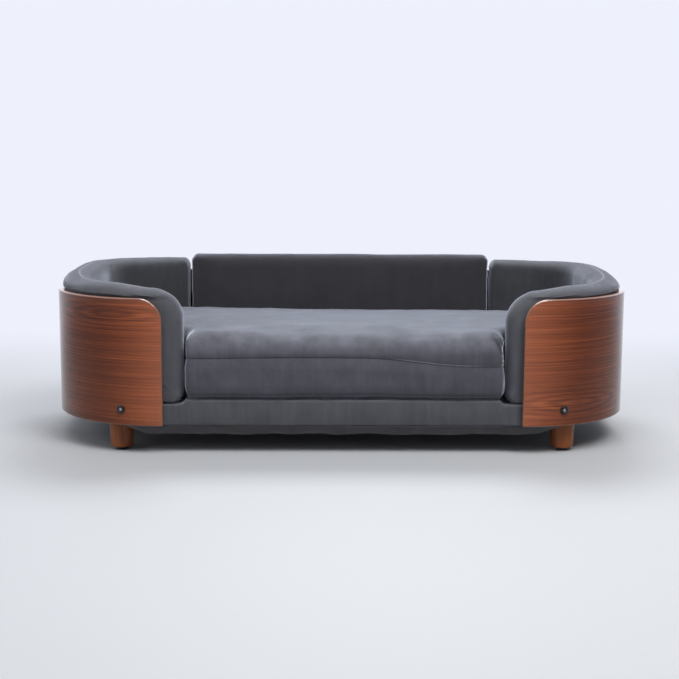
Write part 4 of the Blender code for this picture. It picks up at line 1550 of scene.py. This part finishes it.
# ---- bolsters
@dataclass(frozen=True)
class Bolsters:
    """The two corner bolsters and the back bolster, each with its foam core and its board.

    Attributes:
        line: The outer line.
        foot: The height of their feet.
        arm_x: Where the arms' free ends are.
        corner_x: Where the corner bolsters end at the back.
        back_half: Half of the length of the back bolster.
        back_top: The height of the back bolster.
        tops: The height of each arm's top at its free end.
        rise: How much higher it is at the back.
        plump: How far a cover swells past its foam at the two rear gaps.
        gap: How much smaller a core is than its cover on every side.
    """

    line: OuterLine
    foot: float
    arm_x: float
    corner_x: float
    back_half: float
    back_top: float
    tops: tuple[float, float] = (0.2822, 0.2795)
    rise: float = 0.0105
    plump: float = 0.0016
    gap: float = 0.002

    def slab(
        self,
        run: tuple[float, float],
        top: float,
        radii: tuple[float, float, float, float],
        roll: tuple[float, float, float, float],
        rise: float,
        core: bool,
    ) -> Slab:
        """A bolster's form.

        Args:
            run: The s of its two ends.
            top: The height of its top.
            radii: Its outline's corner radii.
            roll: How far its edge draws in on each side.
            rise: How much higher it is at the back, which only an arm is.
            core: Whether it is the core, which is smaller and leaves room for the board behind it.

        Returns:
            The slab.
        """
        shrink, room = (self.gap, BOARD_ROOM) if core else (0.0, 0.0)
        low, high = (run[0] + shrink, self.foot + shrink), (run[1] - shrink, top - shrink)
        return Slab(
            self.line,
            Outline(low, high, radii, 0.012 if core else 0.006),
            outer=BOLSTER_DEPTH + (shrink + room),
            thickness=BOLSTER_T - 2 * shrink - room,
            roll=roll,
            power=2.15,
            bulge=0.0 if core else 0.0014,
            rise=rise,
            rings=12,
            steps=8,
            droop=0.0070 if rise else 0.0,
            overhang=0.0058 if rise and not core else 0.0,
        )

    def board(self, run: tuple[float, float], top: float, corner: float) -> Slab:
        """The stiff board behind a bolster's core.

        Args:
            run: The s of the bolster's two ends.
            top: The height of its top.
            corner: The radius of the board's upper corner at the first end.

        Returns:
            The slab.
        """
        low, high = (run[0] + 0.020, self.foot + 0.008), (run[1] - 0.008, top - 0.022)
        outline = Outline(low, high, (0.006, 0.006, 0.010, corner), 0.012, 8)
        outer, thickness, lips = BOLSTER_DEPTH + 0.0025, 0.0035, (0.0005,) * 4
        return Slab(self.line, outline, outer, thickness, lips, flat=0.002, rings=6, steps=2)

    def soften(self, piece: Piece, seed: int) -> None:
        """Gives a cover the slight unevenness of cloth over foam, along the normals, by a random draw."""
        place = point_rows(piece, "co").astype(float)
        move = waves(place, 0.085, seed) * 0.00050 + waves(place, 0.024, seed + 1) * 0.00016
        move_points(piece, place + point_rows(piece, "normal") * move[:, None])

    def build(self, finishes: Finishes) -> None:
        """Makes the covers and the cores and dresses the boards."""
        half = self.line.half_length
        corner_run = (self.arm_x, half - self.corner_x)
        back_run = (half - self.back_half, half + self.back_half)
        short_run = (self.arm_x + 0.0060, corner_run[1])
        arm_radii, arm_roll = (0.017, 0.012, 0.016, 0.053), (0.020, 0.017, 0.007, 0.005)
        back_radii, back_roll = (0.010, 0.010, 0.013, 0.013), (0.025, 0.007, 0.007, 0.005)
        forms = {
            "left": (Side.LEFT, corner_run, self.tops[0], arm_radii, arm_roll, self.rise),
            "right": (Side.RIGHT, short_run, self.tops[1], arm_radii, arm_roll, self.rise),
            "back": (Side.RIGHT, back_run, self.back_top, back_radii, back_roll, 0.0),
        }
        for seed, (word, (side, run, top, radii, roll, rise)) in enumerate(forms.items()):
            # the back bolster gets the velvet with painted shade
            finish = finishes.dark_velvet if word == "back" else finishes.velvet
            ends = (run[0] - (0.0 if rise else self.plump), run[1] + self.plump)
            cover = self.slab(ends, top, radii, roll, rise, False).build(f"bolster_{word}", side, [finish])
            self.soften(cover, 31 + 2 * seed)
            show(cover, f"{word}_bolster", "velvet", f"{word}_bolster_cover")
            foam = self.slab(run, top, radii, roll, rise, True)
            core = foam.build(f"bolster_core_{word}", side, [finishes.foam])
            show(core, f"{word}_bolster", "foam", f"{word}_bolster_foam")
            slab = self.board(run, top, 0.050 if rise else 0.010)
            board = slab.build(f"bolster_board_{word}", side, [finishes.board_wood])
            show(board, f"{word}_bolster", "plain_ply", f"{word}_bolster_board")


# ---- seat
@dataclass(frozen=True)
class Seat:
    """The loose boxed seat: a wide body behind the arms and a tongue between them.

    Attributes:
        line: The outer line.
        inset: How far inside the outer line the wide body ends.
        tongue: Half of the width of the tongue.
        shift: How far the tongue lies to the right.
        front: Where the tongue ends, along Y.
        bottom: The lowest height.
        crown: The height that the filling reaches.
        back: Where it ends at the back, along Y.
        start: How much smaller the sewn form is in plan before it is filled.
        empty: How much lower its top is before it is filled.
        voxel: The size of the cloth's squares.
        drop: How much lower the top is at the back.
        seam: The greatest height of the front seam.
        seam_fall: How much lower it is at the right end.
        low_seam: The height of the lower seam.
        slump: How much lower the middle of the front edge is than its ends.
        fold_at: The (x, z) at which the fold at the right meets the top.
        fold_way: The direction across the fold, in x and z.
        fold_depth: How far the cloth steps back behind the fold.
        core_gap: How much smaller the core is than its cover on every side.
    """

    line: OuterLine
    inset: float = 0.0672
    tongue: float = 0.2664
    shift: float = 0.0033
    front: float = -0.2530
    bottom: float = 0.0917
    crown: float = 0.2050
    back: float = 0.1868
    start: float = 0.0006
    empty: float = 0.0075
    voxel: float = 0.006
    drop: float = 0.0105
    seam: float = 0.1632
    seam_fall: float = 0.0145
    low_seam: float = 0.0982
    slump: float = 0.0095
    fold_at: tuple[float, float] = (0.2490, 0.2050)
    fold_way: tuple[float, float] = (0.89, 0.46)
    fold_depth: float = 0.0100
    core_gap: float = 0.007

    def pillow(
        self,
        name: str,
        line: OuterLine,
        depth: float,
        shift: tuple[float, float],
        top: tuple[float, float, float],
        foot: float,
    ) -> Piece:
        """A level pillow that follows a rounded rectangle.

        Args:
            name: The piece's name.
            line: The rounded rectangle.
            depth: How far inside the line it ends.
            shift: How far it moves along X and Y.
            top: The width and the height of its upper edge at the front, and its radius elsewhere.
            foot: The radius of its lower edge.

        Returns:
            The closed pillow.
        """
        count = 240
        s = 2 * line.half_length * np.arange(count) / count
        low, high = self.bottom + self.start, self.crown - self.empty
        turn = np.linspace(0.0, math.pi / 2, 7)
        _, normal = line.at(s)
        ahead = np.clip(-normal[:, 1], 0.0, 1.0) ** 6
        wide, tall = (top[2] + (size - top[2]) * ahead for size in top[:2])
        rows = [(foot * (1 - math.sin(a)) + 0 * s, low + foot * (1 - math.cos(a))) for a in turn]
        rows += [(wide * (1 - math.cos(a)), high - tall * (1 - math.sin(a))) for a in turn]
        rings = [line.place(s, depth + d, 0 * s + z) for d, z in rows]
        below, above = (ring * (1.0, 0.0, 1.0) for ring in (rings[0], rings[-1]))
        for middle in (below, above):
            middle[:, 0] = np.clip(middle[:, 0], -line.bend_x, line.bend_x)
        points = np.stack([below, *rings, above]) + (*shift, 0.0)
        return put_mesh(name, points, grid_faces(len(points), count), [])

    def sewn(self) -> Piece:
        """The sewn form: the wide body and the tongue, joined and cut into even squares."""
        body_top, tongue_top, tongue_end = (0.010, 0.010, 0.018), (0.021, 0.034, 0.004), 0.060
        depth = self.inset + self.start
        body = self.pillow("seat_cushion", self.line, depth, (0.0, 0.0), body_top, 0.004)
        length = 0.5 * (tongue_end - self.front)
        slim = OuterLine(self.tongue, length, 0.008)
        shift = (self.shift, self.front + length)
        join(body, self.pillow("tongue", slim, self.start, shift, tongue_top, 0.007))
        add_voxels(body, self.voxel)
        return body

    def fill(self, piece: Piece) -> None:
        """Lets pressure fill the cloth and keeps each point near where it began.

        A point's move m along each axis becomes most * tanh(m / most).

        Args:
            piece: The sewn form.
        """
        steps, most = 20, np.array([0.0012, 0.0012, 0.0085])
        before = point_rows(piece, "co").astype(float)
        cloth = piece.modifiers.new("filling", "CLOTH")
        cloth.settings.use_pressure = True
        cloth.settings.uniform_pressure_force = 4.0
        cloth.settings.effector_weights.gravity = 0.0
        cloth.settings.quality = 4
        cloth.settings.mass = 0.3
        cloth.settings.tension_stiffness = 18.0
        cloth.settings.compression_stiffness = 18.0
        cloth.settings.shear_stiffness = 8.0
        cloth.settings.bending_stiffness = 0.8
        cloth.collision_settings.use_collision = False
        cloth.point_cache.frame_start, cloth.point_cache.frame_end = 1, steps
        for step in range(1, steps + 1):
            bpy.context.scene.frame_set(step)
        settle(piece)
        bpy.context.scene.frame_set(1)
        move = point_rows(piece, "co").astype(float) - before
        size = np.linalg.norm(move, axis=1)
        LOG.info("seat cloth moved by %.4f m at most and %.4f m on average", size.max(), size.mean())
        move_points(piece, before + most * np.tanh(move / most))

    def seam_height(self, x: np.ndarray) -> np.ndarray:
        """The height of the front seam: almost level, then falling on the right."""
        return self.seam - 0.0020 * smooth(-x, 0.07, 0.25) - self.seam_fall * smooth(x, 0.03, 0.225)

    def sink(self, x: np.ndarray, y: np.ndarray) -> np.ndarray:
        """How far the top sinks towards the middle of its front edge."""
        return self.slump * smooth(-y, 0.15, 0.245) * (1.0 - smooth(np.abs(x - 0.01), 0.05, 0.25))

    def tailor(self, piece: Piece) -> None:
        """Adds the seams and folds, keeps the cushion clear of the bolsters, and marks the seams.

        The top first swells and falls to the back. Each seam is a groove, exp(-(distance / width)^2), with
        puckers beside it, the walls belly out between them, and the fold is such a groove with a step.

        Args:
            piece: The filled cover.
        """
        at = point_rows(piece, "co").astype(float)
        normal = point_rows(piece, "normal").astype(float)
        x, y, z = at.T.copy()
        height = (z - self.bottom) / (self.crown - self.bottom)
        up = smooth(height, 0.25, 1.0)
        fall = self.drop * smooth(y, -0.17, 0.20) + 0.0045 * smooth(x, -0.2, 0.45) * smooth(y, -0.2, 0.19)
        swell = 0.0010 * waves(at, 0.30, 61) + 0.0004 * waves(at, 0.11, 62)
        at[:, 2] += up * (swell - fall) - self.sink(x, y) * smooth(height, 0.62, 1.0)
        side = 1.0 - smooth(np.abs(normal[:, 2]), 0.75, 0.95)
        high = self.seam_height(x)
        line = np.minimum(np.abs(z - high), np.abs(z - self.low_seam))
        groove = np.exp(-((line / 0.0040) ** 2)) * side
        tight = np.exp(-((line / 0.013) ** 2)) * side
        along = np.stack([x, y, 0 * z], -1)
        pucker = waves(along, 0.024, 63, 9) * 0.00040
        between = smooth(z, self.low_seam, self.low_seam + 0.02) * (1 - smooth(z, high - 0.02, high))
        belly = between * side * 0.0022
        upright = np.stack([x, y, z * 0.22], -1)
        face = side * (waves(upright, 0.045, 65, 9) * 0.00040 + waves(upright, 0.12, 66) * 0.0009)
        across = (x - self.fold_at[0]) * self.fold_way[0] + (z - self.fold_at[1]) * self.fold_way[1]
        reach = smooth(z, 0.138, 0.160) * (1.0 - smooth(y, -0.232, -0.200))
        fold = reach * np.exp(-((across / 0.0050) ** 2))
        at[:, 1] += reach * self.fold_depth * smooth(across, -0.001, 0.004)
        push = belly + face + tight * pucker - groove * 0.0011 - fold * 0.0015
        at += normal * push[:, None]
        at += normal * (waves(at, 0.050, 67, 9) * 0.00022)[:, None]
        away = 0.05 * (1.0 - side)
        # the fold mark also tells the velvet where to paint shade into the fold
        marks = {"upper_seam": z - high + away, "lower_seam": z - self.low_seam + away, "fold": fold}
        for name, values in marks.items():
            mark = piece.data.attributes.new(name, "FLOAT", "POINT")
            mark.data.foreach_set("value", values.astype(np.float32))
        move_points(piece, self.clear(at))

    def clear(self, at: np.ndarray) -> np.ndarray:
        """Moves points that would touch a bolster, the base or the zip back into the cushion's room.

        Args:
            at: Places as rows.

        Returns:
            The new places.
        """
        x, y, z = at.T.copy()
        bend = np.clip(x, -self.line.bend_x, self.line.bend_x)
        lean = np.clip(y, -self.line.bend_y, self.line.bend_y)
        out = np.hypot(x - bend, y - lean)
        most = self.line.radius - self.inset
        on_tongue = (y < 0.0) & (np.abs(x - self.shift) < self.tongue + 0.004)
        share = np.where((out > most) & ~on_tongue, most / np.maximum(out, 1e-9), 1.0)
        x = bend + (x - bend) * share
        y = lean + (y - lean) * share
        mouth = self.line.half_depth - self.inset
        ahead = smooth(-y, mouth - 0.012, mouth)
        narrow = np.clip(x, self.shift - self.tongue, self.shift + self.tongue)
        x = np.where(on_tongue | (y < -mouth), x + (narrow - x) * ahead, x)
        y = np.minimum(y, self.back - CLEAR)
        z = np.maximum(z, self.bottom)
        return np.stack([x, y, z], -1)

    def build(self, finishes: Finishes) -> None:
        """Makes the cover and its core."""
        cushion = self.sewn()
        self.fill(cushion)
        core = bpy.data.objects.new("seat_core", cushion.data.copy())
        bpy.context.scene.collection.objects.link(core)
        cushion.modifiers.new("finer", "SUBSURF").levels = 1
        settle(cushion)
        cover_in(cushion, finishes.seat_velvet)
        self.tailor(cushion)
        show(cushion, "seat", "velvet", "seat_cover")
        at = point_rows(core, "co").astype(float)
        at -= point_rows(core, "normal") * self.core_gap
        fall = 0.015 * smooth(at[:, 1], -0.2, 0.19) + 1.5 * self.sink(at[:, 0], at[:, 1])
        at[:, 2] -= smooth(at[:, 2], 0.12, 0.20) * fall
        move_points(core, at)
        add_voxels(core, 0.011)
        cover_in(core, finishes.foam)
        show(core, "seat", "foam", "seat_foam")


@dataclass(frozen=True)
class Zip:
    """The zip in the back of the seat: two tapes, two rows of teeth, and a slider with its pull.

    Attributes:
        half_length: Half of its length.
        height: Its height.
        face: Where its outer face is, along Y.
        pitch: The distance between teeth of one row.
        half_slider: Half of the slider's length.
    """

    half_length: float = 0.160
    height: float = 0.1175
    face: float = 0.1880
    pitch: float = 0.0030
    half_slider: float = 0.0035

    def blocks(self, centres: np.ndarray, sizes: np.ndarray) -> tuple[np.ndarray, np.ndarray]:
        """Boxes at centres with sizes; gives their points and faces."""
        corner = np.array([[i, j, k] for k in (-1, 1) for j in (-1, 1) for i in (-1, 1)]) * 0.5
        points = (centres[:, None, :] + corner[None] * sizes[:, None, :]).reshape(-1, 3)
        pairs = [[0, 1, 3, 2], [4, 5, 7, 6]], [[0, 1, 5, 4], [2, 3, 7, 6]], [[0, 2, 6, 4], [1, 3, 7, 5]]
        quads = np.concatenate(pairs)
        faces = (np.arange(len(centres))[:, None, None] * 8 + quads[None]).reshape(-1, 4)
        return points, faces

    def build(self, finishes: Finishes) -> None:
        """Makes the chain and the slider."""
        tape_y = self.face - 0.0009
        step = np.arange(-self.half_length + 0.004, self.half_length - 0.004, self.pitch)
        lower = np.stack([step, 0 * step + tape_y + 0.0003, 0 * step + self.height - 0.0007], -1)
        upper = lower + (self.pitch / 2, 0.0, 0.0014)
        tapes = np.array([[0.0, tape_y, self.height - 0.0050], [0.0, tape_y, self.height + 0.0050]])
        centres = np.concatenate([tapes, lower, upper])
        sizes = np.tile((self.pitch * 0.44, 0.0012, 0.0030), (len(centres), 1))
        sizes[:2] = (2 * self.half_length, 0.0005, 0.0086)
        points, faces = self.blocks(centres, sizes)
        slots = np.repeat(np.arange(len(centres)) > 1, 6).astype(np.int32)
        chain = put_mesh("zip_teeth", points, faces, [finishes.zip_tape, finishes.gunmetal], slots)
        show(chain, "seat", "tape", "zip_chain")
        end_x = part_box("zip_slider")[1].x
        middle_x = end_x - self.half_slider
        y = self.face
        plan = [
            ((middle_x, y + 0.0006, self.height), (0.0070, 0.0009, 0.0086)),
            ((middle_x + 0.0022, y - 0.0003, self.height), (0.0014, 0.0012, 0.0016)),
            ((middle_x, y + 0.0018, self.height), (0.0016, 0.0016, 0.0034)),
        ]
        points, faces = self.blocks(np.array([c for c, _ in plan]), np.array([s for _, s in plan]))
        slider = put_mesh("zip_runner", points, faces, [finishes.gunmetal], sharp=20.0)
        soft = slider.modifiers.new("worn edges", "BEVEL")
        soft.width, soft.segments = 0.00025, 2
        settle(slider)
        join(slider, self.pull(middle_x, y + 0.0031))
        slider.data.shade_smooth()
        slider.data.set_sharp_from_angle(angle=math.radians(35))
        show(slider, "zip_slider", "zinc_steel", "zip_slider")

    def pull(self, end_x: float, y: float) -> Piece:
        """The flat pull: an oval plate with a hole, whose section goes round from hole to rim and back.

        Args:
            end_x: The middle of its rounded end on the slider.
            y: The middle of its thickness.

        Returns:
            The new object.
        """
        length, half, hole_radius, skin, flank, count = 0.016, 0.0022, 0.0010, 0.0004, 0.0002, 40
        angle = 2 * math.pi * np.arange(count) / count
        far = np.where(np.cos(angle) < 0, -(length / 2 - half), length / 2 - half)
        centre_x = end_x - length / 2 + half
        ring = np.stack([far + half * np.cos(angle), half * np.sin(angle)], -1)
        hole_x = 0 * far - length / 2 + half + hole_radius * np.cos(angle)
        hole = np.stack([hole_x, hole_radius * np.sin(angle)], -1)
        section = [(hole, skin), (ring * 0.94, skin), (ring, flank), (ring, -flank)]
        section += [(ring * 0.94, -skin), (hole, -skin), (hole, skin)]
        rows = []
        for outline, depth in section:
            place = [outline[:, 0] + centre_x, 0 * angle + y + depth, outline[:, 1] + self.height]
            rows.append(np.stack(place, -1))
        return put_mesh("pull", np.stack(rows), grid_faces(len(rows), count), [])


# ---- studio
@dataclass(frozen=True)
class Lamp:
    """A softbox.

    Attributes:
        name: Its name.
        place: Where it stands.
        aim: Where it points.
        size: Its width and height.
        power: Its power in watts.
        colour: Its colour.
    """

    name: str
    place: tuple[float, float, float]
    aim: tuple[float, float, float]
    size: tuple[float, float]
    power: float
    colour: tuple[float, float, float] = (1.0, 1.0, 1.0)

    def build(self) -> None:
        """Puts the softbox into the scene."""
        light = bpy.data.lights.new(self.name, "AREA")
        light.shape = "RECTANGLE"
        light.size, light.size_y = self.size
        light.energy = self.power
        light.color = self.colour
        lamp = bpy.data.objects.new(self.name, light)
        lamp.location = self.place
        way = Vector(self.aim) - Vector(self.place)
        lamp.rotation_euler = way.to_track_quat("-Z", "Y").to_euler()
        bpy.context.scene.collection.objects.link(lamp)


@dataclass(frozen=True)
class Studio:
    """The pale studio: a floor that fades into the background, the light and the camera.

    Attributes:
        background: The colour behind everything.
        floor: The floor's colour.
        glow: The strength of the surroundings in glossy reflections.
        dim: The same for the part of them behind the camera.
        ambient: The strength of the surroundings as light.
        lens: The camera's focal length in millimetres on a 36 mm sensor.
        eye: The camera's place.
        pitch: How far the camera looks down, in degrees.
        yaw: How far it looks to the right, in degrees.
        roll: How far it is turned anticlockwise, in degrees.
        lamps: The softboxes.
    """

    background: tuple[float, float, float] = (0.855, 0.880, 0.973)
    floor: tuple[float, float, float] = (0.335, 0.342, 0.352)
    glow: float = 1.50
    dim: float = 0.04
    ambient: float = 0.32
    lens: float = 70.61
    eye: tuple[float, float, float] = (-0.0339, -2.4208, 0.5217)
    pitch: float = 8.571
    yaw: float = 0.727
    roll: float = 0.28
    lamps: tuple[Lamp, ...] = (
        Lamp("key_light", (1.10, -1.75, 2.50), (0.0, 0.0, 0.12), (1.1, 1.1), 53.0, (1.0, 0.99, 0.97)),
        Lamp("back_light", (0.10, 1.25, 1.90), (0.0, -0.05, 0.15), (1.2, 0.9), 55.0, (0.95, 0.97, 1.0)),
        Lamp("top_light", (0.1, -1.10, 1.95), (0.0, -0.15, 0.15), (2.2, 0.8), 42.0, (0.97, 0.98, 1.0)),
        Lamp("fill_light", (-2.10, -1.30, 1.20), (0.0, 0.0, 0.12), (1.3, 1.3), 14.0, (0.95, 0.97, 1.0)),
    )

    def floor_material(self) -> Material:
        """A matt floor that fades into the background towards the back and far away."""
        g = Shading("studio_floor")
        here = g.place()
        x, y = g.split(here, 0), g.split(here, 1)
        grain = g.noise(here, 60.0, 3.0)
        colour = g.mix(grain * 0.12, self.floor, tuple(0.93 * c for c in self.floor))
        g.dress(Base_Color=colour, Roughness=0.62, Specular_IOR_Level=0.25)
        away = g.fade((x * x + y * y) ** 0.5, 1.7, 3.2)
        behind = g.fade(y, 0.15, 1.25)
        share = 1.0 - (1.0 - away) * (1.0 - behind)
        glow = g.node("ShaderNodeEmission", {}, {"Color": (*self.background, 1.0), "Strength": 1.0})
        body = Socket(g.tree, g.shader.outputs[0])
        both = g.node("ShaderNodeMixShader", {}, {0: share, 1: body, 2: glow})
        g.tree.links.new(both.source, g.tree.nodes["Material Output"].inputs["Surface"])
        return g.material

    def surroundings(self) -> None:
        """A world that the camera sees as the background and that lights the sofa less strongly."""
        world = bpy.data.worlds.new("studio")
        bpy.context.scene.world = world
        world.use_nodes = True
        tree = world.node_tree
        path = tree.nodes.new("ShaderNodeLightPath")
        shade = tree.nodes["Background"]
        shade.inputs["Color"].default_value = (*self.background, 1.0)
        camera = Socket(tree, path.outputs["Is Camera Ray"])
        glossy = Socket(tree, path.outputs["Is Glossy Ray"])
        way = tree.nodes.new("ShaderNodeTexCoord")
        parts = tree.nodes.new("ShaderNodeSeparateXYZ")
        tree.links.new(way.outputs["Generated"], parts.inputs[0])
        span = tree.nodes.new("ShaderNodeMapRange")
        span.interpolation_type = "SMOOTHSTEP"
        tree.links.new(parts.outputs["Y"], span.inputs["Value"])
        ends = {"From Min": -0.80, "From Max": 0.40, "To Min": self.dim, "To Max": self.glow}
        for key, value in ends.items():
            span.inputs[key].default_value = value
        shine = Socket(tree, span.outputs[0])
        strength = camera * (1.0 - self.ambient) + glossy * (shine - self.ambient) + self.ambient
        tree.links.new(strength.source, shade.inputs["Strength"])

    def build(self) -> None:
        """Makes the floor, the light and the camera."""
        half = 14.0
        mesh = bpy.data.meshes.new("studio_floor")
        corners = [(-half, -half, 0.0), (half, -half, 0.0), (half, half, 0.0), (-half, half, 0.0)]
        mesh.from_pydata(corners, [], [(0, 1, 2, 3)])
        mesh.materials.append(self.floor_material())
        floor = bpy.data.objects.new("studio_floor", mesh)
        bpy.context.scene.collection.objects.link(floor)
        self.surroundings()
        for lamp in self.lamps:
            lamp.build()
        sensor = bpy.data.cameras.new("studio_camera")
        sensor.lens, sensor.sensor_width = self.lens, 36.0
        camera = bpy.data.objects.new("studio_camera", sensor)
        turn = Matrix.Rotation(math.radians(-self.yaw), 4, "Z")
        turn = turn @ Matrix.Rotation(math.radians(90 - self.pitch), 4, "X")
        turn = turn @ Matrix.Rotation(math.radians(self.roll), 4, "Z")
        camera.matrix_world = Matrix.Translation(self.eye) @ turn
        bpy.context.scene.collection.objects.link(camera)
        bpy.context.scene.camera = camera
        bpy.context.scene.view_settings.view_transform = "Standard"
        LOG.info("studio: %d lamps", len(self.lamps))


# ---- main
def main() -> None:
    """Builds the whole scene."""
    logging.basicConfig(level=logging.INFO, format="%(name)s: %(message)s")
    low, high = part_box("side_panel_left")
    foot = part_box("left_bolster_cover")[0].z
    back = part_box("back_bolster_cover")[1]
    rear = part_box("back_panel")[1]
    panel_start, arm_start, arm_corner = 0.2980, 0.266, 0.2985
    line = OuterLine(-low.x, rear.y, CORNER_R)
    finishes = Finishes()
    bolts = Bolts(line)
    bolts.build(finishes)
    Shell(line, low.z, high.z, panel_start, rear.x).build(finishes, bolts)
    Legs().build(finishes)
    Base(line).build(finishes)
    Bolsters(line, foot, arm_start, arm_corner, back.x, back.z).build(finishes)
    Seat(line).build(finishes)
    Zip().build(finishes)
    Studio().build()


if __name__ == "__main__":
    main()
